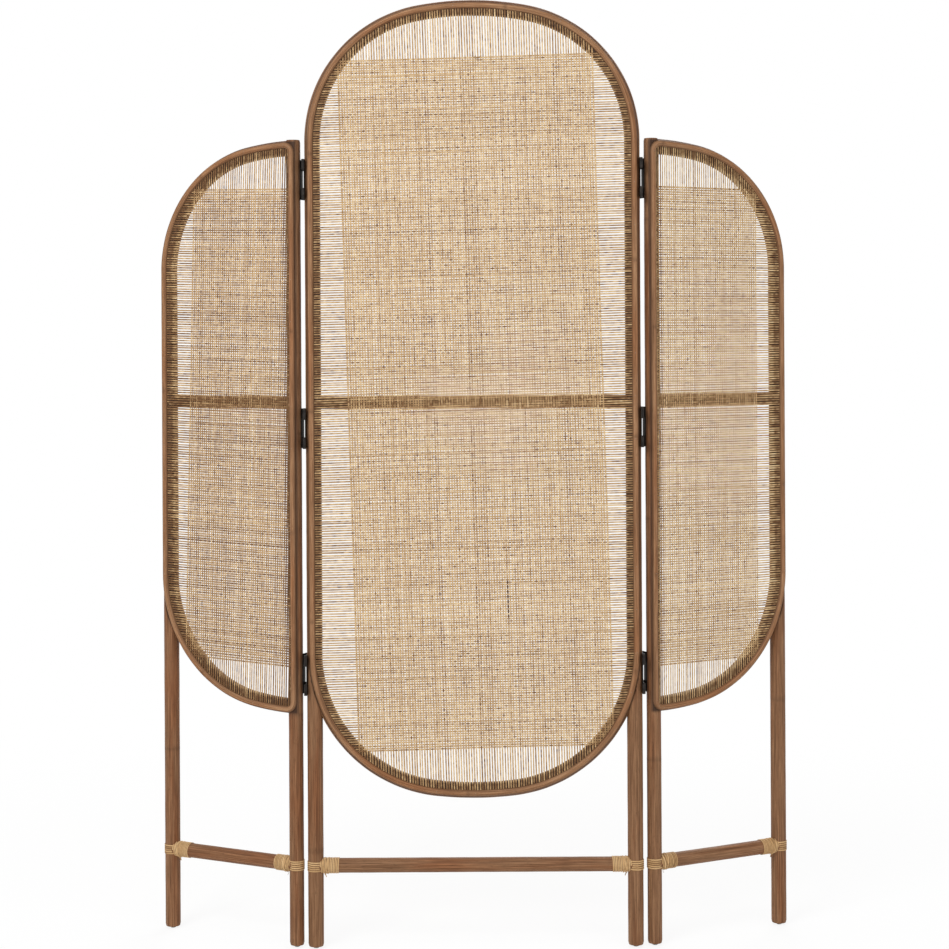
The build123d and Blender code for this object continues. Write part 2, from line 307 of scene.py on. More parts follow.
def trace(start: tuple[float, float], heading: float, moves: list[Move], step: float) -> Line:
    """A smooth line of straight runs and arcs.

    A run adds its length along the heading. An arc of radius r turns left about the point
    r to the left of the line, so a place after the angle t is the centre plus r times the
    outward direction turned by t.

    Args:
        start: first place, across and up.
        heading: first direction in radians, anticlockwise from across.
        moves: lengths, or (radius, turn) with the turn in radians, to the left.
        step: largest distance between neighbouring samples.

    Returns:
        The sampled line.
    """
    here, points, along, run, total = np.array(start, float), [], [], [], 0.0
    for move in moves:
        if isinstance(move, tuple):
            radius, turn = move
            length = radius * turn
            share = np.linspace(0, 1, max(2, math.ceil(length / step)) + 1)
            angle = heading + turn * share
            left = np.array([-math.sin(heading), math.cos(heading)])
            centre = here + radius * left
            places = centre + radius * np.stack([np.sin(angle), -np.cos(angle)], axis=1)
            heading += turn
        else:
            length = move
            share = np.linspace(0, 1, max(2, math.ceil(length / step)) + 1)
            angle = np.full_like(share, heading)
            places = here + np.outer(share * length, [math.cos(heading), math.sin(heading)])
        points.append(places[:-1])
        along.append(np.stack([np.cos(angle), np.sin(angle)], axis=1)[:-1])
        run.append((total + share * length)[:-1])
        here, total = places[-1], total + length
    points.append(here[None])
    along.append(np.array([[math.cos(heading), math.sin(heading)]]))
    run.append(np.array([total]))
    return Line(np.concatenate(points), np.concatenate(along), np.concatenate(run))


def arch_over(ring: Ring, foot: float) -> list[Move]:
    """Moves of a pole up the outer leg of a ring and over its crown as far as the middle."""
    top = ring.top
    return [top.spring - foot, (top.shoulder, QUARTER - top.angle), (top.crown, top.angle)]


def spread(values: float | Array, shape: tuple[int, int]) -> Array:
    """Gives every place of a skin its value.

    Args:
        values: one value for all, one a section, or one a place.
        shape: numbers of sections and of places round each.

    Returns:
        One value a place, section by section.
    """
    values = np.asarray(values, float)
    if values.ndim == 1:
        values = values[:, None]
    return np.broadcast_to(values, shape).ravel()


@dataclass
class Shell:
    """Closed surfaces of one piece under construction, with what its finish reads from them."""

    points: list[Array] = field(default_factory=list)
    quads: list[Array] = field(default_factory=list)
    fans: list[Array] = field(default_factory=list)
    grain: list[Array] = field(default_factory=list)
    tone: list[Array] = field(default_factory=list)
    mark: list[Array] = field(default_factory=list)
    count: int = 0

    @property
    def triangles(self) -> int:
        """How many triangles the shell has so far."""
        return 2 * sum(len(q) for q in self.quads) + sum(len(f) for f in self.fans)

    def add(
        self,
        rings: Array,
        grain: Array,
        tone: float | Array = 0.0,
        mark: float | Array = 0.0,
        is_loop: bool = False,
    ) -> None:
        """Adds a skin of cross-sections, closed round each one and at both ends.

        Neighbouring sections are joined by quads, and each end by a fan about its middle. The
        faces are turned round if the volume they hold, the sum of p1 . (p2 x p3) / 6 over the
        triangles, comes out negative.

        Args:
            rings: section, place round it, and x, y, z.
            grain: the same shape: a position round the piece, and the length along it.
            tone: lightness of the finish: one for all, one a section, or one a place.
            mark: how dark the stain and the painted shade lie, given in the same ways.
            is_loop: whether the last section joins the first.
        """
        sections, around = rings.shape[:2]
        index = np.arange(sections * around).reshape(sections, around)
        a = index if is_loop else index[:-1]
        b = np.roll(index, -1, axis=0) if is_loop else index[1:]
        quads = np.stack([a, b, np.roll(b, -1, axis=1), np.roll(a, -1, axis=1)], axis=-1)
        quads = quads.reshape(-1, 4)
        points, coords = rings.reshape(-1, 3), grain.reshape(-1, 3)
        tones = spread(tone, (sections, around))
        marks = spread(mark, (sections, around))
        fans = np.zeros((0, 3), int)
        if not is_loop:
            ends = [rings[0].mean(0), rings[-1].mean(0)]
            end_grain = [grain[0].mean(0), grain[-1].mean(0)]
            points = np.concatenate([points, ends])
            coords = np.concatenate([coords, end_grain])
            tones = np.append(tones, [tones[0], tones[-1]])
            marks = np.append(marks, [marks[0], marks[-1]])
            first, last = sections * around, sections * around + 1
            start, end = index[0], index[-1]
            fans = np.concatenate(
                [
                    np.stack([start, np.roll(start, -1), np.full(around, first)], axis=1),
                    np.stack([np.roll(end, -1), end, np.full(around, last)], axis=1),
                ]
            )
        middle = points.mean(0)
        tri = np.concatenate([quads[:, :3], quads[:, [0, 2, 3]], fans])
        p = points[tri] - middle
        volume = np.einsum("ij,ij->i", p[:, 0], np.cross(p[:, 1], p[:, 2])).sum()
        if volume < 0:
            quads, fans = quads[:, ::-1], fans[:, ::-1]
        self.points.append(points)
        self.quads.append(quads + self.count)
        self.fans.append(fans + self.count)
        self.grain.append(coords)
        self.tone.append(tones)
        self.mark.append(marks)
        self.count += len(points)

    def build(
        self, name: str, material: bpy.types.Material, crease: float = 40.0
    ) -> bpy.types.Object:
        """Makes the Blender object.

        Args:
            name: name of the piece.
            material: its finish.
            crease: edges sharper than this many degrees stay sharp.

        Returns:
            The object, at the origin, with its place in its mesh.
        """
        points = np.concatenate(self.points)
        quads, fans = np.concatenate(self.quads), np.concatenate(self.fans)
        mesh = bpy.data.meshes.new(name)
        mesh.vertices.add(len(points))
        mesh.vertices.foreach_set("co", points.astype(np.float32).ravel())
        corners = np.concatenate([quads.ravel(), fans.ravel()]).astype(np.int32)
        starts = np.concatenate(
            [np.arange(len(quads)) * 4, quads.size + np.arange(len(fans)) * 3]
        ).astype(np.int32)
        mesh.loops.add(len(corners))
        mesh.loops.foreach_set("vertex_index", corners)
        mesh.polygons.add(len(starts))
        mesh.polygons.foreach_set("loop_start", starts)
        mesh.polygons.foreach_set("use_smooth", np.ones(len(starts), bool))
        mesh.update(calc_edges=True)
        mesh.set_sharp_from_angle(angle=math.radians(crease))
        grain = mesh.attributes.new("grain", "FLOAT_VECTOR", "POINT")
        grain.data.foreach_set("vector", np.concatenate(self.grain).astype(np.float32).ravel())
        for label, values in (("tone", self.tone), ("mark", self.mark)):
            attribute = mesh.attributes.new(label, "FLOAT", "POINT")
            attribute.data.foreach_set("value", np.concatenate(values).astype(np.float32))
        mesh.materials.append(material)
        piece = bpy.data.objects.new(name, mesh)
        bpy.context.scene.collection.objects.link(piece)
        return piece


def ripple(run: Array, seed: int, size: float) -> Array:
    """Gentle unevenness along a cane: the mean of three sines with seeded lengths and phases.

    Args:
        run: lengths along the cane.
        seed: seed of the lengths and phases.
        size: the most that the mean can be.

    Returns:
        The unevenness at each length.
    """
    rng = np.random.default_rng(seed)
    waves = np.zeros_like(run)
    for length in RIPPLE_LENGTHS:
        phase, stretch = rng.uniform(0, 2 * math.pi), rng.uniform(*RIPPLE_STRETCH)
        waves += np.sin(2 * math.pi * run / (length * stretch) + phase)
    return size * waves / len(RIPPLE_LENGTHS)


def growth_rings(run: Array, seed: int) -> Array:
    """How near each place along a pole is to a growth ring.

    A place at a distance d from the nearest ring gets exp(-(d / w)^2), w being a ring's width.

    Args:
        run: lengths along the pole.
        seed: seed of the rings' places.

    Returns:
        From 0 far from every ring to 1 on one.
    """
    rng = np.random.default_rng(seed)
    places = np.cumsum(rng.uniform(*RING_SPACING, RING_COUNT)) - rng.uniform(*RING_LEAD)
    distance = np.abs(run[:, None] - places[None]).min(axis=1)
    return np.exp(-((distance / RING_WIDTH) ** 2))


@dataclass
class Pole:
    """One rattan pole of a panel, round except where its front is planed for the weave.

    behind moves its axis back, foot chamfers its ends, and slim_from is the length over which
    each end grows thinner where it runs into another pole.
    """

    line: Line
    radius: float
    seed: int
    seat_ring: Ring | None = None
    behind: float = 0.0
    foot: bool = False
    slim_from: float | None = None

    AROUND = 56
    CHAMFER = 1.2
    RING_STAIN = 0.34
    SEAT_STAIN_AND_SHADE = 1.0
    TRIM_SHADOW_WIDTH = 1.8
    TRIM_SHADOW = 0.6
    UNEVEN = 0.14
    RING_SWELL = 0.10
    SLIMMER = 0.7
    SEAT_MARGIN = 0.3
    SEAT_FROM = 0.45
    RAIL_SHADE_FROM = 0.7
    GRAIN_SHIFT = 97.0

    def rings(self) -> tuple[Array, Array, Array]:
        """Cross-sections of the pole.

        A place at the angle t round the section is the axis plus r cos t outwards in the panel
        and r sin t to the front, where r is the pole's radius less the ripple. Where the weave
        lies on it, the front is cut off at the seat's depth.

        Returns:
            The sections, their grain coordinates and how dark the stain and the painted shade lie:
            stain somewhat on the growth rings, a painted shadow beside the trim, and full dark on
            the planed seat, partly stain and partly painted shade under the strands, and on the
            middle rail's front, painted shade behind the weave.
        """
        run, total = self.line.run, self.line.run[-1]
        mark = growth_rings(run, self.seed)
        radius = self.radius - self.UNEVEN + ripple(run, self.seed, self.UNEVEN)
        radius = radius - self.RING_SWELL * (1 - mark)
        if self.foot:
            for distance in (run, total - run):
                tip = np.clip(distance / self.CHAMFER, 0, 1)
                radius = radius - np.where(distance < self.CHAMFER, (1 - tip) * self.CHAMFER, 0)
        if self.slim_from is not None:
            near_end = np.minimum(run, total - run)
            radius = radius - self.SLIMMER * np.clip(1 - near_end / self.slim_from, 0, 1)
        angle = np.linspace(0, 2 * math.pi, self.AROUND, endpoint=False)
        out = radius[:, None] * np.cos(angle)
        front = radius[:, None] * np.sin(angle)
        outwards = np.stack([self.line.along[:, 1], -self.line.along[:, 0]], axis=1)
        x = self.line.points[:, :1] + out * outwards[:, :1]
        z = self.line.points[:, 1:] + out * outwards[:, 1:]
        stain = self.RING_STAIN * np.broadcast_to(mark[:, None], out.shape)
        if self.seat_ring is not None:
            margin = SIZES.trim_width / 2 + self.SEAT_MARGIN
            outside = self.seat_ring.outside(x, z)
            planed = outside < margin
            # Painted shadow: a dark band on the pole's front just outside the trim.
            beside = (outside < margin + self.TRIM_SHADOW_WIDTH) & (front > 0)
            stain = np.where(beside, np.maximum(stain, self.TRIM_SHADOW), stain)
            # Planed seat under the weave: painted dark, partly stain and partly painted shade
            # between the strands.
            flat = planed & (front > self.SEAT_FROM * SIZES.seat)
            stain = np.where(flat, self.SEAT_STAIN_AND_SHADE, stain)
            front = np.where(planed, np.minimum(front, SIZES.seat), front)
        # Painted shade: the middle rail's front, which lies behind the weave, is painted dark.
        if self.behind:
            stain = np.where(front > self.RAIL_SHADE_FROM * self.radius, self.SEAT_STAIN_AND_SHADE, stain)
        rings = np.stack([x, -front + self.behind, z], axis=-1)
        length = np.broadcast_to(run[:, None], out.shape) + self.GRAIN_SHIFT * self.seed
        grain = np.stack([out, self.radius * np.sin(angle) + 0 * out, length], axis=-1)
        return rings, grain * MM, stain


def level(start: float, end: float, height: float, step: float = 8.0) -> Line:
    """A straight level line from one place across the panel to another."""
    return trace((start, height), 0.0, [end - start], step)


@dataclass
class TrimStrip:
    """Half-round split cane nailed over the weave's edge all the way round a panel."""

    ring: Ring
    seed: int

    STEP = 5.0
    AROUND = 18
    EDGE_SHADE = 0.75
    RING_STAIN = 0.45
    EDGE = (0.55, 1.0)
    BASE_GAP = 0.15
    WIDTH_PLAY = 0.02
    HEIGHT = 0.93
    HEIGHT_PLAY = 0.06
    TONE_PLAY = 0.4
    GRAIN_SHIFT = 31.0

    def rings(self) -> tuple[Array, Array, Array, Array]:
        """Cross-sections of the strip.

        The front is a dome: at the share t from -1 to 1 across the strip it stands
        h (1 - |t|^2.2)^0.6 above the base, and the back is flat. Width and height waver a
        little along the strip.

        Returns:
            The sections, their grain coordinates, tones and how dark the stain and painted shade
            lie:
            stain somewhat on the growth rings, and painted shade along both edges of the dome.
        """
        start, moves = self.ring.trim_moves()
        line = trace(start, QUARTER, moves, self.STEP)
        points, along, run = line.points[:-1], line.along[:-1], line.run[:-1]
        share = np.cos(np.linspace(math.pi, 0, self.AROUND))
        dome = np.maximum(1 - np.abs(share) ** 2.2, 0) ** 0.6
        base = SIZES.seat + self.BASE_GAP
        rise = SIZES.trim_front - base
        wide = 1 - self.WIDTH_PLAY + self.WIDTH_PLAY * ripple(run, self.seed, 1.0)
        width = SIZES.trim_width / 2 * wide
        height = rise * (self.HEIGHT + self.HEIGHT_PLAY * ripple(run, self.seed + 1, 1.0))
        out = np.concatenate([share, share[-2:0:-2]])
        up = np.concatenate([dome, np.zeros(len(share[-2:0:-2]))])
        outwards = np.stack([along[:, 1], -along[:, 0]], axis=1)
        offset = width[:, None] * out
        x = points[:, :1] + offset * outwards[:, :1]
        z = points[:, 1:] + offset * outwards[:, 1:]
        depth = base + height[:, None] * up
        rings = np.stack([x, -depth, z], axis=-1)
        length = np.broadcast_to(run[:, None], offset.shape) + self.GRAIN_SHIFT * self.seed
        grain = np.stack([offset, depth, length], axis=-1) * MM
        # Painted shade: the dome's edges are painted darker than its crown.
        edge_shade = np.interp(np.abs(out), self.EDGE, (0.0, self.EDGE_SHADE))
        marks = self.RING_STAIN * growth_rings(run, self.seed + 5)[:, None]
        tone = self.TONE_PLAY * ripple(run, self.seed + 2, 1.0)
        return rings, grain, tone, np.maximum(marks, edge_shade)


@dataclass(frozen=True)
class Weave:
    """Open cane weave of one panel: the field where strands cross, and its single fringes.

    middle and turn place the grid, and across and up bound the field on it. Strands darken from
    the first to the second distance of ring_darkening outwards from the ring, and within rail_cover
    of the middle rail. stain is the place and the heights of one dark upright strand.
    """

    ring: Ring
    middle: tuple[float, float]
    turn: float
    across: tuple[float, float]
    up: tuple[float, float]
    seed: int
    tone: float = 0.0
    column_pitch: float = 4.92
    row_pitch: float = 4.61
    strand: float = 2.78
    thickness: float = 0.60
    lift: float = 0.34
    stain: tuple[float, float, float] | None = None
    ring_darkening: tuple[float, float] = (-20.5, -16.5)
    darkening_tone: float = -1.15
    rail_cover: tuple[float, float] = (10.0, 13.0)
    rail_share: float = 0.7

    REACH = 1000.0
    JITTER = 0.20
    DRIFT = 0.9
    DRIFT_LENGTH = 190
    DRIFT_SPACING = 85
    WAVER = 0.22
    WAVER_LENGTHS = (35, 110)
    WAVER_PHASE = 6.3
    PLANE_GAP = 0.05
    WIDTHS = (0.88, 1.10)
    SHADE = 0.30
    SHADE_WAVE = 0.14
    SHADE_LENGTH = 7.3
    UPRIGHT_SHADE = 0.10
    LEVEL_SHADE = -0.12
    FLECK = 0.40
    DARK_FLECK_BELOW = -1.9
    DARK_FLECK = 0.35
    STAIN_TONE = -3.2
    GRAIN_SHIFT = 613.0
    GRAIN_CYCLE = 97

    def tones(
        self, rng: np.random.Generator, number: int, drift: float, is_upright: bool, points: Array,
        far: Array,
    ) -> Array:
        """Lightness along one strand: its own shade, flecks, and darkening near the ring and the
        middle rail.

        Args:
            rng: the generator that the strands are drawn with.
            number: the strand's number in the grid.
            drift: phase of the slow change of shade from strand to strand.
            is_upright: whether the strand runs upwards.
            points: its places, across and up.
            far: their distances outwards from the ring.

        Returns:
            One tone a place.
        """
        shade = rng.normal(0, self.SHADE)
        shade += self.SHADE_WAVE * math.sin(number / self.SHADE_LENGTH + drift)
        shade += self.tone + (self.UPRIGHT_SHADE if is_upright else self.LEVEL_SHADE)
        fleck = rng.normal(0, 1.0, len(points))
        dark = np.where(fleck < self.DARK_FLECK_BELOW, self.DARK_FLECK, 0.0)
        fleck = self.FLECK * fleck - dark
        # Strands darken towards the ring, and by rail_share beside the middle rail.
        near = np.interp(far, self.ring_darkening, (0.0, 1.0))
        beside_rail = np.abs(points[:, 1] - SIZES.rail_height)
        on_rail = np.interp(beside_rail, self.rail_cover, (self.rail_share, 0.0))
        return shade + fleck + self.darkening_tone * np.maximum(near, on_rail)

    def strands(self, is_upright: bool) -> list[tuple[Array, Array, Array]]:
        """Every strand that runs one way.

        Strands are numbered lines of a grid turned by a small angle. Each is sampled where the
        other way's strands cross it, stands in front at every other crossing and behind at the
        rest, lies flat in the fringes, and ends under the trim's middle line. Neighbours drift
        together by DRIFT sin(along / DRIFT_LENGTH) sin(aside / DRIFT_SPACING), each sine with a
        seeded phase along, and each strand also wavers by itself.

        Args:
            is_upright: whether the strands that run upwards are made, or the level ones.

        Returns:
            For each strand its places (across, depth, up), half width and tone.
        """
        rng = np.random.default_rng(self.seed + (1 if is_upright else 2))
        pitch, other = self.column_pitch, self.row_pitch
        span, cross = self.across, self.up
        if not is_upright:
            pitch, other, span, cross = other, pitch, cross, span
        along = np.array([-math.sin(self.turn), math.cos(self.turn)])
        aside = np.array([math.cos(self.turn), math.sin(self.turn)])
        if not is_upright:
            along, aside = aside, along
        first, last = math.ceil(-self.REACH / other), math.floor(self.REACH / other)
        index = np.arange(first, last + 1)
        places = index * other
        drift = rng.uniform(0, 2 * math.pi, 4)
        made = []
        for number in range(math.ceil(span[0] / pitch), math.floor(span[1] / pitch) + 1):
            place = number * pitch + rng.normal(0, self.JITTER)
            shared = self.DRIFT * np.sin(places / self.DRIFT_LENGTH + drift[0])
            shared = shared * math.sin(place / self.DRIFT_SPACING + drift[1])
            waver = places / rng.uniform(*self.WAVER_LENGTHS) + rng.uniform(0, self.WAVER_PHASE)
            bend = shared + self.WAVER * np.sin(waver)
            points = np.outer(places, along) + np.outer(place + bend, aside) + self.middle
            far = self.ring.outside(points[:, 0], points[:, 1])
            inside = np.flatnonzero(far < 0)
            if len(inside) < 3:
                continue
            low, high = inside[0] - 1, inside[-1] + 1
            keep = slice(low, high + 1)
            points, far, where = points[keep].copy(), far[keep], index[keep]
            for end, next_in in ((0, 1), (-1, -2)):
                share = far[next_in] / (far[next_in] - far[end])
                points[end] = points[next_in] + share * (points[end] - points[next_in])
            crossed = (where * other > cross[0]) & (where * other < cross[1])
            sign = np.where((where + number) % 2 == 0, 1.0, -1.0) * (1 if is_upright else -1)
            depth = SIZES.weave_depth + self.lift * np.where(crossed, sign, 0.0)
            depth = depth + (self.PLANE_GAP if is_upright else -self.PLANE_GAP)
            tone = self.tones(rng, number, drift[2], is_upright, points, far)
            if self.stain is not None and is_upright and abs(place - self.stain[0]) < pitch / 2:
                stained = (points[:, 1] > self.stain[1]) & (points[:, 1] < self.stain[2])
                tone = np.where(stained, self.STAIN_TONE, tone)
            width = self.strand / 2 * rng.uniform(*self.WIDTHS)
            place3 = np.stack([points[:, 0], depth, points[:, 1]], axis=-1)
            made.append((place3, np.full(len(points), width), tone))
        return made

    def shells(self, placement: Placement) -> list[Shell]:
        """The strands' closed skins, shared out so that no piece grows too large.

        A strand's section is a flat lozenge: its edges half a width to either side, its middle
        half a thickness to the front and to the back.

        Args:
            placement: where the panel stands.

        Returns:
            One shell a piece.
        """
        shells = [Shell()]
        sections = np.array([[1, 0], [0, 1], [-1, 0], [0, -1]], float)
        for is_upright in (True, False):
            for number, (places, half, tone) in enumerate(self.strands(is_upright)):
                if shells[-1].triangles > TRIANGLES_PER_PIECE:
                    shells.append(Shell())
                step = np.gradient(places[:, [0, 2]], axis=0)
                step /= np.linalg.norm(step, axis=1)[:, None]
                aside = np.stack([step[:, 1], -step[:, 0]], axis=1)
                out = half[:, None] * sections[:, 0]
                front = self.thickness / 2 * sections[:, 1]
                x = places[:, :1] + out * aside[:, :1]
                z = places[:, 2:] + out * aside[:, 1:]
                y = -(places[:, 1:2] + front + 0 * out)
                shift = self.GRAIN_SHIFT * (number % self.GRAIN_CYCLE)
                length = np.broadcast_to(lengths(places)[:, None] + shift, out.shape)
                grain = np.stack([out, front + 0 * out, length], axis=-1) * MM
                rings = placement.place(np.stack([x, y, z], axis=-1))
                shells[-1].add(rings, grain, tone)
        return shells


def lengths(path: Array) -> Array:
    """Length run along a path up to each of its places."""
    return np.concatenate([[0], np.cumsum(np.linalg.norm(np.diff(path, axis=0), axis=1))])


def ribbon(path: Array, normal: Array, width: float, thickness: float) -> Skin:
    """Skin of a flat cane strip bent along a path.

    The section at each place is a lozenge with cut corners: six places at half the width and
    half the thickness, across the path and along the given normals.

    Args:
        path: places along the middle of the strip.
        normal: unit direction in which the strip's face looks at each place.
        width: width of the strip.
        thickness: its thickness.

    Returns:
        The sections and their grain coordinates.
    """
    along = np.gradient(path, axis=0)
    along /= np.linalg.norm(along, axis=1)[:, None]
    aside = np.cross(along, normal)
    aside /= np.linalg.norm(aside, axis=1)[:, None]
    out, front = STRIP_SECTION[:, 0] * width / 2, STRIP_SECTION[:, 1] * thickness / 2
    rings = path[:, None] + out[None, :, None] * aside[:, None]
    rings = rings + front[None, :, None] * normal[:, None]
    shape = (len(path), len(STRIP_SECTION))
    coords = (out, front, lengths(path)[:, None])
    grain = np.stack([np.broadcast_to(values, shape) for values in coords], axis=-1)
    return rings, grain * MM


@dataclass
class Lashing:
    """Cane strip that binds one end of a stretcher to its leg.

    x is the leg's place across the panel, leg its radius, and towards the stretcher's side of
    it, 1 or -1. It is drawn with the leg at 0 and the stretcher towards larger x.
    """

    x: float
    leg: float
    towards: float
    seed: int

    STRIP = 2.75
    PITCH = 3.05
    TURNS = 11.5
    BANDS = 5
    BAND_PITCH = 3.9
    START = -5.5
    CROSS_STRIP = 2.1
    CROSS_REACH = math.radians(76.0)
    CROSS_START = 1.2
    CROSS_RUNS = ((-3.4, 2.8), (9.0, 3.0), (2.0, 7.4))
    TURN_SAMPLES = 36
    BAND_SAMPLES = 72
    WINDING_WIDTH = 0.84
    BAND_WIDTH = 1.06
    BAND_WOBBLE = 0.22
    SHADE = 0.35

    def winding(self) -> Skin:
        """Turns round the stretcher: a helix that comes out of the joint and runs beside the leg.

        At the angle t it is t / 2 pi pitches along the stretcher. The first turns close the
        joint's valley in front and behind, and their tops and bottoms are lost in the leg.

        Returns:
            The strip's skin.
        """
        turn = np.linspace(0, 2 * math.pi * self.TURNS, round(self.TURN_SAMPLES * self.TURNS))
        radius = SIZES.stretcher + SIZES.cane_gap + SIZES.cane / 2
        x = self.leg + self.START + self.PITCH * turn / (2 * math.pi)
        normal = np.stack([0 * turn, -np.cos(turn), np.sin(turn)], axis=1)
        path = np.stack([x, radius * normal[:, 1], radius * normal[:, 2]], axis=1)
        return ribbon(path, normal, self.STRIP * self.WINDING_WIDTH, SIZES.cane)

    def bands(self) -> list[Skin]:
        """Bands round the leg, each open only where the stretcher meets it.

        Returns:
            One skin a band.
        """
        made = []
        radius = self.leg + SIZES.cane_gap + SIZES.cane / 2
        for band in range(self.BANDS):
            height = (band - (self.BANDS - 1) / 2) * self.BAND_PITCH
            notch = math.asin(math.sqrt(SIZES.stretcher**2 - height**2) / radius)
            angle = np.linspace(notch, 2 * math.pi - notch, self.BAND_SAMPLES)
            normal = np.stack([np.cos(angle), -np.sin(angle), 0 * angle], axis=1)
            path = radius * normal
            path[:, 2] = height + self.BAND_WOBBLE * np.sin(angle * 2 + band)
            made.append(ribbon(path, normal, self.STRIP * self.BAND_WIDTH, SIZES.cane))
        return made

    def crossings(self) -> list[Skin]:
        """Zigzag strips over the winding beside the leg, in front and behind.

        Each runs slantwise over the winding: while it turns from its upper end to its lower end
        it moves along the stretcher from one given distance beside the leg to another. Behind
        the leg the strips are thinner, so that the panel can close flat.

        Returns:
            One skin a strip.
        """
        made = []
        share = np.linspace(0, 1, 16)
        for back in (False, True):
            for layer, (near, far) in enumerate(self.CROSS_RUNS):
                thick = SIZES.cane * (0.55 if back else 0.9)
                lift = 0.06 * layer if back else 0.20 * (layer + 1)
                radius = SIZES.stretcher + SIZES.cane_gap + SIZES.cane + thick * 0.4 + lift * 0.5
                angle = self.CROSS_REACH * (1 - 2 * share)
                front = -np.cos(angle) if not back else np.cos(angle)
                x = self.leg + self.CROSS_START + near + (far - near) * share
                normal = np.stack([0 * share, front, np.sin(angle)], axis=1)
                path = np.stack([x, radius * normal[:, 1], radius * normal[:, 2]], axis=1)
                made.append(ribbon(path, normal, self.CROSS_STRIP, thick))
        return made

    def tail(self) -> Skin:
        """Loose end of the strip, tucked down beside the leg under the stretcher.

        Returns:
            The end's skin, along a path that drops and curls back a little.
        """
        share = np.linspace(0, 1, 14)
        x = self.leg + 2.0 + 3.5 * share
        y = -4.0 + 3.0 * np.sin(2.2 * share)
        z = -(SIZES.stretcher + 0.9) - 7.0 * share**1.3
        path = np.stack([x, y, z], axis=1)
        normal = np.tile([[0.9, -0.44, 0.0]], (len(share), 1))
        return ribbon(path, normal, self.STRIP * 0.8, SIZES.cane * 0.7)

    def add_to(self, shell: Shell, placement: Placement) -> None:
        """Puts all the strips of this lashing into a shell.

        Args:
            shell: the shell of the panel's lashings.
            placement: where the panel stands.
        """
        rng = np.random.default_rng(self.seed)
        strips = [self.winding(), *self.bands(), *self.crossings(), self.tail()]
        for rings, grain in strips:
            rings = rings * np.array([self.towards, 1.0, 1.0])
            rings = rings + np.array([self.x, 0.0, SIZES.stretcher_height])
            shift = np.array([0, 0, rng.uniform(0, 3)])
            shell.add(placement.place(rings), grain + shift, rng.normal(0, self.SHADE))


def turned(profile: Array, centre: tuple[float, float], around: int = 28) -> Skin:
    """Upright turned piece: each (radius, height) of the profile is a circle about its centre.

    Args:
        profile: radii and heights, from one end to the other.
        centre: the axis, across and back.
        around: places round each circle.

    Returns:
        The piece's skin.
    """
    angle = np.linspace(0, 2 * math.pi, around, endpoint=False)
    radius, height = profile[:, 0][:, None], profile[:, 1][:, None] + 0 * angle
    x, y = centre[0] + radius * np.cos(angle), centre[1] + radius * np.sin(angle)
    rings = np.stack([x, y, height], axis=-1)
    return rings, rings * MM


def slab(low: Point, high: Point, edge: float = 0.3) -> Skin:
    """Upright plate with rounded upright edges and softened ends.

    The outline is a rectangle whose corners are arcs of three places. At the top and bottom it
    is drawn in by about half the edge's radius.

    Args:
        low: the plate's lowest corner.
        high: its highest corner.
        edge: radius of the upright edges.

    Returns:
        The plate's skin.
    """
    corner = np.radians([0.0, 45.0, 90.0])
    corners = ((high[0], high[1]), (low[0], high[1]), (low[0], low[1]), (high[0], low[1]))
    arcs = []
    for turn, (x, y) in enumerate(corners):
        inwards = (edge if x == low[0] else -edge, edge if y == low[1] else -edge)
        angle = corner + turn * math.pi / 2
        across = x + inwards[0] + edge * np.cos(angle)
        arcs.append(np.stack([across, y + inwards[1] + edge * np.sin(angle)], axis=1))
    outline = np.concatenate(arcs)
    middle = outline.mean(0)
    small = middle + (outline - middle) * (1 - edge * 0.5 / np.abs(outline - middle).max(0))
    levels = [
        (low[2], small),
        (low[2] + edge * 0.5, outline),
        (high[2] - edge * 0.5, outline),
        (high[2], small),
    ]
    rings = np.stack([np.column_stack([place, np.full(len(place), z)]) for z, place in levels])
    return rings, rings * MM


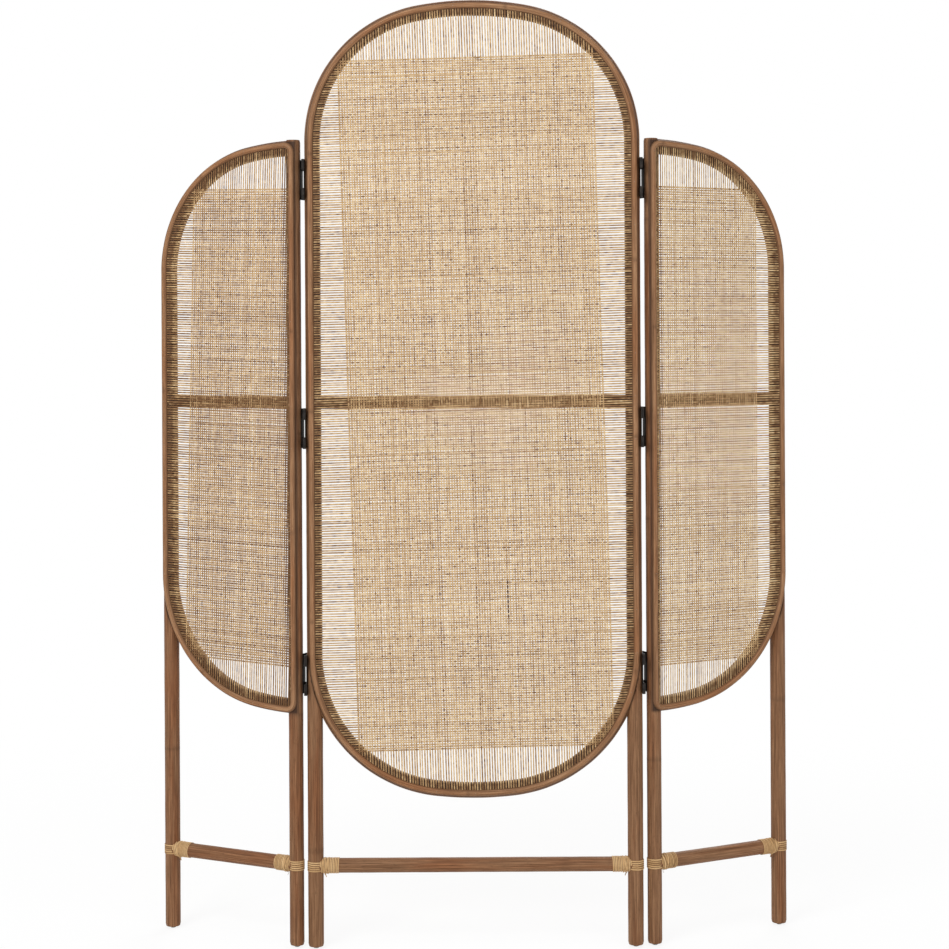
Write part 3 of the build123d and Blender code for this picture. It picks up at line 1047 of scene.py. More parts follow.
@dataclass(frozen=True)
class Hinge:
    """Black double-acting hinge: two leaves, and an upper and a lower link plate between them.

    A pin runs along each edge of the link. The plate of the centre leg's leaf goes as far as
    reach past the pole axes, and that of the side panel's leaf as far as side_reach, which is
    short of them, because no leaf shows beside that leg.
    """

    centres: tuple[float, float, float] = (520.0, 987.0, 1460.0)
    height: float = 76.0
    ear: float = 6.0
    barrel: float = 14.0
    pin: float = 1.7
    plate: float = 1.2
    gap: float = 0.3
    reach: float = 6.0
    side_reach: float = -1.5
    play: float = 0.3
    rim: float = 0.35

    BRIDGE = 0.5
    EYE_SLIMMER = 0.05
    PIN_INSET = 1.0
    PIN_OVERLAP = 1.2
    SCREW_HEIGHTS = (-0.62, -0.2, 0.2, 0.62)
    SCREW_PROFILE = ((-0.4, 1.9), (0.06, 1.9), (0.14, 1.6))
    SCREW_AROUND = 20

    def barrel_profile(self, low: float, high: float, radius: float) -> Array:
        """Radius and height of a barrel with softened rims, closed at its ends.

        Args:
            low: its lower end.
            high: its upper end.
            radius: its radius.

        Returns:
            The profile for turned.
        """
        small = radius - self.rim
        return np.array(
            [[small, low], [radius, low + self.rim], [radius, high - self.rim], [small, high]]
        )

    def leaf(self, side: float, axis: float, centre: float) -> list[Skin]:
        """Leaf on one leg: its plate, and at each end a barrel bridged to it, with screw heads.

        Args:
            side: -1 on the centre leg, 1 on the side panel's leg.
            axis: depth of its pins.
            centre: height of its middle.

        Returns:
            One skin a solid.
        """
        sign = math.copysign(1.0, axis)
        reach = self.side_reach if side > 0 else self.reach
        near, far = axis - sign * (SIZES.knuckle + self.play), -sign * reach
        middle = side * (self.plate * 1.5 + self.gap - self.plate / 2)
        x0, x1 = SIZES.hinge_x + middle - self.plate / 2, SIZES.hinge_x + middle + self.plate / 2
        y0, y1 = min(near, far), max(near, far)
        half = self.height / 2
        solids = [slab((x0, y0, centre - half), (x1, y1, centre + half))]
        top = half - self.ear - self.play
        for low, high in ((top - self.barrel, top), (-top, self.barrel - top)):
            ends = sorted((near - sign * self.BRIDGE, axis))
            solids.append(slab((x0, ends[0], centre + low), (x1, ends[1], centre + high)))
            profile = self.barrel_profile(centre + low, centre + high, SIZES.knuckle)
            solids.append(turned(profile, (SIZES.hinge_x, axis)))
        face = SIZES.hinge_x + middle - side * self.plate / 2
        for share in self.SCREW_HEIGHTS:
            solids.append(self.screw(face, -side, (near + far) / 2, centre + share * half))
        return solids

    def screw(self, face: float, way: float, y: float, z: float) -> Skin:
        """Flat screw head that stands a hair's breadth out of a leaf's face.

        Each (height, radius) of its profile is a circle about the screw's axis.

        Args:
            face: the leaf's face, across.
            way: the way that the face looks, 1 or -1.
            y: depth of the screw.
            z: height of the screw.

        Returns:
            The head's skin.
        """
        angle = np.linspace(0, 2 * math.pi, self.SCREW_AROUND, endpoint=False)
        height, radius = np.array(self.SCREW_PROFILE).T[..., None]
        x = face + way * height + 0 * angle
        rings = np.stack([x, y + radius * np.cos(angle), z + radius * np.sin(angle)], axis=-1)
        return rings, rings * MM

    def link(self, centre: float) -> list[Skin]:
        """Upper and lower link plates, open between them, with an eye and a pin at each edge.

        Args:
            centre: height of the hinge's middle.

        Returns:
            One skin a solid.
        """
        clear = SIZES.knuckle + self.play
        half, x = self.height / 2, SIZES.hinge_x
        front, rear = -SIZES.front_axis, SIZES.rear_axis
        thick = self.plate / 2
        window = half - self.ear - self.barrel - self.play
        solids = []
        for low, high in ((window, half), (-half, -window)):
            corner = (x - thick, front + clear, centre + low)
            solids.append(slab(corner, (x + thick, rear - clear, centre + high)))
        for low, high in ((half - self.ear, half), (-half, self.ear - half)):
            solids.append(slab((x - thick, front, centre + low), (x + thick, rear, centre + high)))
            for y in (front, rear):
                eye = SIZES.knuckle - self.EYE_SLIMMER
                profile = self.barrel_profile(centre + low, centre + high, eye)
                solids.append(turned(profile, (x, y)))
        for y in (front, rear):
            inner, outer = half - self.ear - self.barrel - self.PIN_OVERLAP, half - self.PIN_INSET
            for low, high in ((inner, outer), (-outer, -inner)):
                profile = self.barrel_profile(centre + low, centre + high, self.pin)
                solids.append(turned(profile, (x, y), around=20))
        return solids


class Nodes:
    """A material's node tree, with short ways to add and join nodes."""

    def __init__(self, name: str) -> None:
        """Starts a material that has a Principled shader and nothing else."""
        self.material = bpy.data.materials.new(name)
        self.material.use_nodes = True
        self.tree = self.material.node_tree
        self.shader = self.tree.nodes["Principled BSDF"]

    def add(self, kind: str, **settings: object) -> bpy.types.Node:
        """Adds a node and sets its own properties.

        Args:
            kind: the node's type.
            settings: names and values of its properties.

        Returns:
            The node.
        """
        node = self.tree.nodes.new(kind)
        for key, value in settings.items():
            setattr(node, key, value)
        return node

    def join(self, source: bpy.types.NodeSocket, target: bpy.types.NodeSocket) -> None:
        """Links two sockets."""
        self.tree.links.new(source, target)

    def attribute(self, name: str, output: str) -> bpy.types.NodeSocket:
        """Reads one of the piece's own attributes."""
        return self.add("ShaderNodeAttribute", attribute_name=name).outputs[output]

    def place(self) -> bpy.types.NodeSocket:
        """Object coordinates, in metres."""
        return self.add("ShaderNodeTexCoord").outputs["Object"]

    def noise(
        self, vector: bpy.types.NodeSocket, stretch: Color, detail: float = 3.0, rough: float = 0.55
    ) -> bpy.types.NodeSocket:
        """Noise on stretched coordinates.

        Args:
            vector: the coordinates.
            stretch: cycles a metre each way.
            detail: how many finer layers it has.
            rough: how strong the finer layers are.

        Returns:
            The noise, about 0.5 on average.
        """
        mapping = self.add("ShaderNodeMapping")
        mapping.inputs["Scale"].default_value = stretch
        self.join(vector, mapping.inputs["Vector"])
        noise = self.add("ShaderNodeTexNoise")
        noise.inputs["Scale"].default_value = 1.0
        noise.inputs["Detail"].default_value = detail
        noise.inputs["Roughness"].default_value = rough
        self.join(mapping.outputs["Vector"], noise.inputs["Vector"])
        return noise.outputs["Fac"]

    def ramp(
        self, value: bpy.types.NodeSocket, stops: list[tuple[float, Color]]
    ) -> bpy.types.NodeSocket:
        """Colours that follow a value.

        Args:
            value: the value.
            stops: values and their colours, in rising order.

        Returns:
            The colour.
        """
        ramp = self.add("ShaderNodeValToRGB")
        elements = ramp.color_ramp.elements
        while len(elements) < len(stops):
            elements.new(0.5)
        for element, (position, color) in zip(elements, stops):
            element.position = position
            element.color = (*color, 1.0)
        self.join(value, ramp.inputs["Fac"])
        return ramp.outputs["Color"]

    def mix(
        self,
        share: bpy.types.NodeSocket,
        a: bpy.types.NodeSocket,
        b: bpy.types.NodeSocket | Color,
        blend: str = "MIX",
    ) -> bpy.types.NodeSocket:
        """Mixes two colours.

        Args:
            share: how much of the second shows, from 0 to 1.
            a: the first colour.
            b: the second colour.
            blend: how the second is laid over the first.

        Returns:
            The mixed colour.
        """
        node = self.add("ShaderNodeMix", data_type="RGBA", blend_type=blend)
        self.join(share, node.inputs[0])
        self.join(a, node.inputs[6])
        if isinstance(b, tuple):
            node.inputs[7].default_value = (*b, 1.0)
        else:
            self.join(b, node.inputs[7])
        return node.outputs[2]

    def reach(
        self, value: bpy.types.NodeSocket, low: float, high: float, to_low: float, to_high: float
    ) -> bpy.types.NodeSocket:
        """Maps a value's range to another, held at both ends.

        Args:
            value: the value.
            low: start of its range.
            high: end of its range.
            to_low: what the start becomes.
            to_high: what the end becomes.

        Returns:
            The mapped value.
        """
        node = self.add("ShaderNodeMapRange")
        for name, number in (
            ("From Min", low),
            ("From Max", high),
            ("To Min", to_low),
            ("To Max", to_high),
        ):
            node.inputs[name].default_value = number
        self.join(value, node.inputs["Value"])
        return node.outputs["Result"]

    def math(
        self, operation: str, a: bpy.types.NodeSocket, b: bpy.types.NodeSocket | float
    ) -> bpy.types.NodeSocket:
        """Arithmetic on two values.

        Args:
            operation: what is done with them.
            a: the first value.
            b: the second value.

        Returns:
            The result.
        """
        node = self.add("ShaderNodeMath", operation=operation)
        self.join(a, node.inputs[0])
        if isinstance(b, float):
            node.inputs[1].default_value = b
        else:
            self.join(b, node.inputs[1])
        return node.outputs[0]

    def bump(self, height: bpy.types.NodeSocket, depth: float, strength: float = 1.0) -> None:
        """Relief on the shader's normal.

        Args:
            height: the relief's height, from 0 to 1.
            depth: its depth in metres.
            strength: how strongly it shows.
        """
        node = self.add("ShaderNodeBump")
        node.inputs["Distance"].default_value = depth
        node.inputs["Strength"].default_value = strength
        self.join(height, node.inputs["Height"])
        self.join(node.outputs["Normal"], self.shader.inputs["Normal"])

    def set(self, **numbers: float) -> None:
        """Sets numbers on the shader's own sockets; underscores stand for spaces."""
        for key, value in numbers.items():
            self.shader.inputs[key.replace("_", " ")].default_value = value


@dataclass(frozen=True)
class RattanFinish:
    """Stained rattan skin: fine streaks along the cane, broad warm patches, growth rings and
    painted shade.
    """

    name: str
    dark: Color
    middle: Color
    light: Color
    red: Color
    # ring is the colour of the growth rings and also of the painted shade carried by mark.
    ring: Color
    roughness: tuple[float, float] = (0.46, 0.68)
    relief: float = 0.00014
    gloss: float = 0.22

    def make(self) -> bpy.types.Material:
        """Builds the finish from the piece's grain, tone and mark attributes.

        Returns:
            The material.
        """
        nodes = Nodes(self.name)
        grain = nodes.attribute("grain", "Vector")
        streaks = nodes.noise(grain, (520.0, 520.0, 9.0), 4.0, 0.62)
        fibres = nodes.noise(grain, (1900.0, 1900.0, 26.0), 2.0, 0.5)
        patches = nodes.noise(grain, (38.0, 38.0, 3.6), 3.0, 0.6)
        flecks = nodes.noise(grain, (900.0, 900.0, 120.0), 2.0, 0.5)
        tone = nodes.attribute("tone", "Fac")
        mark = nodes.attribute("mark", "Fac")
        coarse, fine = nodes.math("MULTIPLY", streaks, 0.62), nodes.math("MULTIPLY", fibres, 0.38)
        value = nodes.math("ADD", coarse, fine)
        value = nodes.math("ADD", value, nodes.math("MULTIPLY", tone, 0.06))
        base = nodes.ramp(value, [(0.30, self.dark), (0.50, self.middle), (0.68, self.light)])
        warm = nodes.reach(patches, 0.46, 0.66, 0.0, 0.75)
        color = nodes.mix(warm, base, self.red, "MULTIPLY")
        specks = nodes.reach(flecks, 0.62, 0.74, 0.0, 0.6)
        color = nodes.mix(specks, color, self.dark)
        # Mixes towards ring by mark: the growth rings' stain, and painted shade on the seat, the
        # rail, beside the trim and on the trim's edges.
        color = nodes.mix(nodes.math("MULTIPLY", mark, 0.92), color, self.ring)
        nodes.join(color, nodes.shader.inputs["Base Color"])
        nodes.join(
            nodes.reach(streaks, 0.3, 0.7, self.roughness[1], self.roughness[0]),
            nodes.shader.inputs["Roughness"],
        )
        nodes.bump(value, self.relief)
        nodes.set(Specular_IOR_Level=self.gloss)
        return nodes.material


@dataclass(frozen=True)
class StrandFinish:
    """Peeled cane strip: pale with a soft sheen, with painted shade along its edges, and darker by
    its own tone.
    """

    name: str
    dark: Color
    middle: Color
    light: Color
    stain: Color
    # edge: the half widths over which the painted edge shade grows.
    edge: tuple[float, float] = (0.0008, 0.0014)
    roughness: tuple[float, float] = (0.50, 0.70)
    relief: float = 0.00006
    gloss: float = 0.25

    def make(self) -> bpy.types.Material:
        """Builds the finish from the strand's grain and its own tone.

        Returns:
            The material.
        """
        nodes = Nodes(self.name)
        grain = nodes.attribute("grain", "Vector")
        tone = nodes.attribute("tone", "Fac")
        slow = nodes.noise(grain, (160.0, 160.0, 14.0), 4.0, 0.68)
        fibres = nodes.noise(grain, (2600.0, 2600.0, 60.0), 2.0, 0.5)
        coarse, fine = nodes.math("MULTIPLY", slow, 0.7), nodes.math("MULTIPLY", fibres, 0.3)
        value = nodes.math("ADD", coarse, fine)
        value = nodes.math("ADD", value, nodes.math("MULTIPLY", tone, 0.16))
        color = nodes.ramp(value, [(0.22, self.dark), (0.46, self.middle), (0.66, self.light)])
        across = nodes.add("ShaderNodeSeparateXYZ")
        nodes.join(grain, across.inputs[0])
        aside = nodes.add("ShaderNodeMath", operation="ABSOLUTE")
        nodes.join(across.outputs["X"], aside.inputs[0])
        # Painted shade: each strip grows darker towards its edges.
        color = nodes.mix(nodes.reach(aside.outputs[0], *self.edge, 0.0, 0.62), color, self.dark)
        stained = nodes.reach(tone, -2.9, -2.3, 0.55, 0.0)
        color = nodes.mix(stained, color, self.stain)
        nodes.set(Specular_IOR_Level=self.gloss)
        nodes.join(color, nodes.shader.inputs["Base Color"])
        nodes.join(
            nodes.reach(slow, 0.3, 0.7, self.roughness[1], self.roughness[0]),
            nodes.shader.inputs["Roughness"],
        )
        nodes.bump(fibres, self.relief)
        return nodes.material


@dataclass(frozen=True)
class BlackSteelFinish:
    """Black stove enamel on steel, worn thin in small scuffs."""

    name: str = "hinge_black_enamel"
    black: Color = (0.008, 0.006, 0.005)
    worn: Color = (0.035, 0.028, 0.023)
    gloss: float = 0.22

    def make(self) -> bpy.types.Material:
        """Builds the enamel with fine orange-peel relief.

        Returns:
            The material.
        """
        nodes = Nodes(self.name)
        place = nodes.place()
        scuffs = nodes.noise(place, (210.0, 210.0, 90.0), 4.0, 0.65)
        peel = nodes.noise(place, (1500.0, 1500.0, 1500.0), 2.0, 0.5)
        color = nodes.ramp(scuffs, [(0.45, self.black), (0.72, self.worn)])
        nodes.join(color, nodes.shader.inputs["Base Color"])
        nodes.join(nodes.reach(scuffs, 0.35, 0.7, 0.38, 0.58), nodes.shader.inputs["Roughness"])
        nodes.bump(peel, 0.00004)
        nodes.set(Specular_IOR_Level=self.gloss)
        return nodes.material


@dataclass(frozen=True)
class MouldedFinish:
    """Grey moulded plastic of the glides, scraped in places."""

    name: str = "glide_grey_plastic"
    grey: Color = (0.22, 0.21, 0.20)
    scraped: Color = (0.36, 0.35, 0.33)

    def make(self) -> bpy.types.Material:
        """Builds the plastic with a fine matt texture.

        Returns:
            The material.
        """
        nodes = Nodes(self.name)
        place = nodes.place()
        scrape = nodes.noise(place, (420.0, 180.0, 300.0), 4.0, 0.6)
        matt = nodes.noise(place, (2400.0, 2400.0, 2400.0), 2.0, 0.5)
        color = nodes.ramp(scrape, [(0.4, self.grey), (0.75, self.scraped)])
        nodes.join(color, nodes.shader.inputs["Base Color"])
        nodes.join(nodes.reach(matt, 0.3, 0.7, 0.45, 0.62), nodes.shader.inputs["Roughness"])
        nodes.bump(matt, 0.00003)
        return nodes.material


@dataclass(frozen=True)
class BrightNailFinish:
    """Small steel nail heads, dulled by lacquer."""

    name: str = "nail_head_steel"
    steel: Color = (0.36, 0.30, 0.24)

    def make(self) -> bpy.types.Material:
        """Builds the dull metal with faint mottling.

        Returns:
            The material.
        """
        nodes = Nodes(self.name)
        mottle = nodes.noise(nodes.place(), (900.0, 900.0, 900.0), 3.0, 0.6)
        dull = (self.steel[0] * 0.5, self.steel[1] * 0.45, self.steel[2] * 0.4)
        color = nodes.ramp(mottle, [(0.35, dull), (0.65, self.steel)])
        nodes.join(color, nodes.shader.inputs["Base Color"])
        nodes.join(nodes.reach(mottle, 0.3, 0.7, 0.3, 0.5), nodes.shader.inputs["Roughness"])
        nodes.set(Metallic=0.8)
        return nodes.material


@dataclass
class Finishes:
    """Every finish on the screen, built once."""

    pole: bpy.types.Material = field(init=False)
    trim: bpy.types.Material = field(init=False)
    strand: bpy.types.Material = field(init=False)
    lashing: bpy.types.Material = field(init=False)
    hinge: bpy.types.Material = field(init=False)
    glide: bpy.types.Material = field(init=False)
    nail: bpy.types.Material = field(init=False)

    def __post_init__(self) -> None:
        """Builds the materials."""
        self.pole = RattanFinish(
            "stained_rattan_pole",
            dark=(0.058, 0.025, 0.010),
            middle=(0.200, 0.096, 0.044),
            light=(0.370, 0.205, 0.104),
            red=(0.90, 0.66, 0.50),
            ring=(0.030, 0.013, 0.006),
        ).make()
        self.trim = RattanFinish(
            "stained_split_cane_trim",
            dark=(0.100, 0.044, 0.018),
            middle=(0.262, 0.130, 0.060),
            light=(0.430, 0.246, 0.128),
            red=(0.92, 0.74, 0.60),
            ring=(0.055, 0.025, 0.012),
        ).make()
        self.strand = StrandFinish(
            "cane_weave_strand",
            dark=(0.160, 0.076, 0.028),
            middle=(0.470, 0.298, 0.140),
            light=(0.710, 0.525, 0.295),
            stain=(0.060, 0.035, 0.020),
        ).make()
        self.lashing = StrandFinish(
            "cane_lashing_strip",
            dark=(0.210, 0.105, 0.040),
            middle=(0.520, 0.315, 0.140),
            light=(0.680, 0.460, 0.235),
            stain=(0.060, 0.035, 0.020),
            # Painted shade along the lashing strips' edges, over these half widths.
            edge=(0.0007, 0.0013),
        ).make()
        self.hinge = BlackSteelFinish().make()
        self.glide = MouldedFinish().make()
        self.nail = BrightNailFinish().make()


@dataclass
class Nail:
    """Domed nail head on the front of a panel."""

    x: float
    z: float
    depth: float
    radius: float

    AROUND = 14
    PROFILE = ((-0.6, 1.0), (0.05, 1.0), (0.22, 0.8), (0.32, 0.4))

    def rings(self) -> Skin:
        """A flat dome: circles that shrink as they rise from the surface.

        Returns:
            The head's skin, one circle for each (height, share of the radius) of the profile.
        """
        angle = np.linspace(0, 2 * math.pi, self.AROUND, endpoint=False)
        height, share = np.array(self.PROFILE).T[..., None]
        x = self.x + self.radius * share * np.cos(angle)
        z = self.z + self.radius * share * np.sin(angle)
        rings = np.stack([x, -(self.depth + height) + 0 * angle, z], axis=-1)
        return rings, rings * MM


@dataclass
class Panel:
    """One panel of the screen, with the pieces that both kinds of panel have."""

    name: str
    body: str
    ring: Ring
    placement: Placement
    finishes: Finishes
    seed: int
    STEP = 5.0
    NAIL_STEP = 85.0
    NAIL_SINK = 0.55
    NAIL_RADIUS = 0.75
    GLIDE = ((3.2, 0.0), (4.6, 0.0), (5.1, 0.35), (6.2, 1.8), (7.9, 3.6), (8.0, 4.0))

    def keep(self, piece: bpy.types.Object, slot: str, *stands_for: str) -> None:
        """Puts a finished piece on its body, hides the CAD nodes that it stands for and logs its
        faces.

        Args:
            piece: the piece.
            slot: its finish slot; not used.
            stands_for: the CAD nodes that it replaces, if any.
        """
        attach(piece, self.body)
        if stands_for:
            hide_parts(*stands_for)
        LOG.info("%s: %d faces", piece.name, len(piece.data.polygons))

    def pole(self, label: str, pole: Pole, *stands_for: str) -> None:
        """Builds one pole of the panel.

        Args:
            label: what the pole is called in its piece's name.
            pole: its line and sizes.
            stands_for: the CAD node that it replaces, if any.
        """
        shell = Shell()
        rings, grain, mark = pole.rings()
        shell.add(self.placement.place(rings), grain, 0.0, mark)
        self.keep(shell.build(f"{self.name}_{label}", self.finishes.pole), "pole", *stands_for)

    def trim(self) -> None:
        """Builds the trim round the weave, and the small nails that hold it."""
        strip = TrimStrip(self.ring, self.seed + 40)
        shell = Shell()
        rings, grain, tone, mark = strip.rings()
        shell.add(self.placement.place(rings), grain, tone, mark, is_loop=True)
        piece = shell.build(f"{self.name}_cane_trim", self.finishes.trim, crease=60.0)
        self.keep(piece, "trim", f"{self.name}_trim")
        start, moves = self.ring.trim_moves()
        line = trace(start, QUARTER, moves, self.NAIL_STEP)
        nails = Shell()
        depth = SIZES.trim_front - self.NAIL_SINK
        for x, z in line.points[:-1]:
            rings, grain = Nail(float(x), float(z), depth, self.NAIL_RADIUS).rings()
            nails.add(self.placement.place(rings), grain)
        self.keep(nails.build(f"{self.name}_trim_nails", self.finishes.nail), "hinge")

    def weave(self, weave: Weave) -> None:
        """Builds the weave in as many pieces as its size needs.

        Args:
            weave: the weave, of whose pieces the first replaces the CAD sheet.
        """
        for number, shell in enumerate(weave.shells(self.placement), start=1):
            piece = shell.build(f"{self.name}_cane_weave_{number}", self.finishes.strand)
            stands_for = (f"{self.name}_webbing",) if number == 1 else ()
            self.keep(piece, "webbing", *stands_for)

    def lashings(self, lashings: list[Lashing]) -> None:
        """Builds the lashings at both ends of the stretcher, as one piece.

        Args:
            lashings: the lashings.
        """
        shell = Shell()
        for lashing in lashings:
            lashing.add_to(shell, self.placement)
        piece = shell.build(f"{self.name}_cane_lashings", self.finishes.lashing)
        self.keep(piece, "cane", f"{self.name}_lashings")

    def glides(self, places: list[float]) -> None:
        """Builds the glides under the feet: a tapered foot with a rounded tread.

        Args:
            places: places of the legs across the panel.
        """
        shell = Shell()
        for x in places:
            rings, grain = turned(np.array(self.GLIDE), (x, 0.0), around=36)
            shell.add(self.placement.place(rings), grain)
        piece = shell.build(f"{self.name}_glides", self.finishes.glide)
        self.keep(piece, "glide", f"{self.name}_foot_glides")


@dataclass
class CentrePanel(Panel):
    """The tall middle panel: one pole bent into both legs and the arch, with a bow below."""

    BAR_INSET = 3.0
    BOW_NAIL = (-6.5, 293.0)
    TUFT = (7.8, 1686.0)
    TUFT_STRIPS = 9
    TUFT_TONE = -0.6

    def build(self) -> None:
        """Builds every piece of the centre panel."""
        ring, foot = self.ring, SIZES.glide
        half = arch_over(ring, foot)
        leg, shoulder = half[0], half[1]
        crown = (ring.top.crown, 2 * ring.top.angle)
        moves = [leg, shoulder, crown, shoulder, leg]
        line = trace((SIZES.half_span, foot), QUARTER, moves, self.STEP)
        arch = Pole(line, SIZES.pole, self.seed, ring, foot=True)
        self.pole("arch", arch, "centre_bent_poles")
        bow = ring.bow
        swing = QUARTER - bow.angle
        start = (-SIZES.half_span, bow.spring)
        moves = [(bow.shoulder, swing), (bow.crown, 2 * bow.angle), (bow.shoulder, swing)]
        low = trace(start, -QUARTER, moves, self.STEP)
        self.pole("bow", Pole(low, SIZES.pole, self.seed + 1, ring, slim_from=90.0))
        end = SIZES.half_span - self.BAR_INSET
        rail = Pole(level(-end, end, SIZES.rail_height), SIZES.rail, self.seed + 2)
        rail.behind = SIZES.rail_behind
        self.pole("rail", rail, "centre_mid_rail")
        stretcher = Pole(level(-end, end, SIZES.stretcher_height), SIZES.stretcher, self.seed + 3)
        self.pole("crossbar", stretcher, "centre_stretcher")
        self.trim()
        self.weave(
            Weave(
                ring,
                middle=(0.0, 1030.0),
                turn=math.radians(1.5),
                across=(-241.0, 248.5),
                up=(-653.0, 660.0),
                seed=self.seed + 7,
                stain=(54.0, 627.0, 697.0),
            )
        )
        self.lashings(
            [
                Lashing(-SIZES.half_span, SIZES.pole, 1.0, self.seed + 8),
                Lashing(SIZES.half_span, SIZES.pole, -1.0, self.seed + 9),
            ]
        )
        self.glides([-SIZES.half_span, SIZES.half_span])
        self.bow_nail()
        self.loose_ends()

    def bow_nail(self) -> None:
        """Builds the nail head that shows on the front of the lower bow."""
        shell = Shell()
        rings, grain = Nail(*self.BOW_NAIL, depth=SIZES.pole - 0.9, radius=1.6).rings()
        shell.add(self.placement.place(rings), grain)
        self.keep(shell.build("centre_bow_nail", self.finishes.nail), "hinge")

    def loose_ends(self) -> None:
        """Builds the tuft of frayed fibres at the weave's upper edge, each a thin curved strip."""
        rng = np.random.default_rng(self.seed + 70)
        shell = Shell()
        share = np.linspace(0, 1, 9)
        for _ in range(self.TUFT_STRIPS):
            length, lean, curl = rng.uniform(7, 15), rng.uniform(-0.7, 0.9), rng.uniform(-3.5, 3.5)
            x = self.TUFT[0] + rng.uniform(-2.5, 2.5) + lean * length * share + curl * share**2
            z = self.TUFT[1] + rng.uniform(-2, 2) + length * share * rng.uniform(0.3, 0.9)
            depth = SIZES.weave_depth + 0.6 + 2.0 * share * rng.uniform(0.2, 1.0)
            path = np.stack([x, -depth, z], axis=1)
            normal = np.tile([[0.0, -1.0, 0.0]], (len(share), 1))
            rings, grain = ribbon(path, normal, 0.5, 0.25)
            shell.add(self.placement.place(rings), grain, self.TUFT_TONE)
        self.keep(shell.build("centre_frayed_ends", self.finishes.strand), "webbing")


@dataclass
class SidePanel(Panel):
    """A half-width panel, drawn as the right one with its inner leg at x = 0."""

    weave_turn: float = 0.0
    weave_tone: float = 0.0

    BAR_INSET = 3.0
    BOW_SLIMMER = 0.2
    BAR_SLIMMER = 0.1

    def build(self) -> None:
        """Builds every piece of a side panel."""
        ring, foot, span = self.ring, SIZES.glide, SIZES.side_span
        over = trace((span, foot), QUARTER, arch_over(ring, foot), self.STEP)
        arch = Pole(over, SIZES.pole, self.seed, ring, foot=True)
        self.pole("arch", arch, f"{self.name}_bent_poles")
        bow = ring.bow
        moves = [(bow.crown, bow.angle), (bow.shoulder, QUARTER - bow.angle)]
        low = trace((0.0, bow.crown_height), 0.0, moves, self.STEP)
        thick = SIZES.pole - self.BOW_SLIMMER
        self.pole("bow", Pole(low, thick, self.seed + 1, ring, slim_from=60.0))
        leg = trace((0.0, foot), QUARTER, [SIZES.leg_top - foot], self.STEP)
        upright = Pole(leg, SIZES.inner_leg, self.seed + 2, ring, foot=True)
        self.pole("upright", upright, f"{self.name}_inner_leg")
        end = span - self.BAR_INSET
        rail = Pole(level(2.0, end, SIZES.rail_height), SIZES.rail, self.seed + 3)
        rail.behind = SIZES.rail_behind
        self.pole("rail", rail, f"{self.name}_mid_rail")
        thin = SIZES.stretcher - self.BAR_SLIMMER
        bar = Pole(level(1.0, end, SIZES.stretcher_height), thin, self.seed + 4)
        self.pole("crossbar", bar, f"{self.name}_stretcher")
        self.trim()
        self.weave(
            Weave(
                ring,
                middle=(0.0, 1000.0),
                turn=self.weave_turn,
                across=(-12.0, 235.0),
                up=(-468.0, 446.0),
                seed=self.seed + 7,
                tone=self.weave_tone,
            )
        )
        self.lashings(
            [
                Lashing(0.0, SIZES.inner_leg, 1.0, self.seed + 8),
                Lashing(span, SIZES.pole, -1.0, self.seed + 9),
            ]
        )
        self.glides([0.0, span])


@dataclass
class Hinges:
    """The three hinges in one gap."""

    side: Side
    finishes: Finishes
    hinge: Hinge = field(default_factory=Hinge)

    def build(self) -> None:
        """Builds the leaves on both legs, and the links between them."""
        mirrored = self.side is Side.LEFT
        name = self.side.value
        still = Placement(mirrored=mirrored)
        swung = Placement(mirrored=mirrored, folded=True)
        front, rear = -SIZES.front_axis, SIZES.rear_axis
        centres = self.hinge.centres
        groups = (
            ("centre_leaf", "centre_panel", "centre_hinge_leaves", still,
             [s for z in centres for s in self.hinge.leaf(-1.0, front, z)]),
            ("side_leaf", f"{name}_panel", "hinge_leaves", swung,
             [s for z in centres for s in self.hinge.leaf(1.0, rear, z)]),
            ("link", f"{name}_link", "hinge_links", still,
             [s for z in centres for s in self.hinge.link(z)]),
        )
        for label, body, node, placement, solids in groups:
            shell = Shell()
            for rings, grain in solids:
                shell.add(placement.place(rings), grain)
            piece = shell.build(f"{name}_hinge_{label}", self.finishes.hinge, crease=35.0)
            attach(piece, body)
            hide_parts(f"{name}_{node}")
            LOG.info("%s: %d faces", piece.name, len(piece.data.polygons))


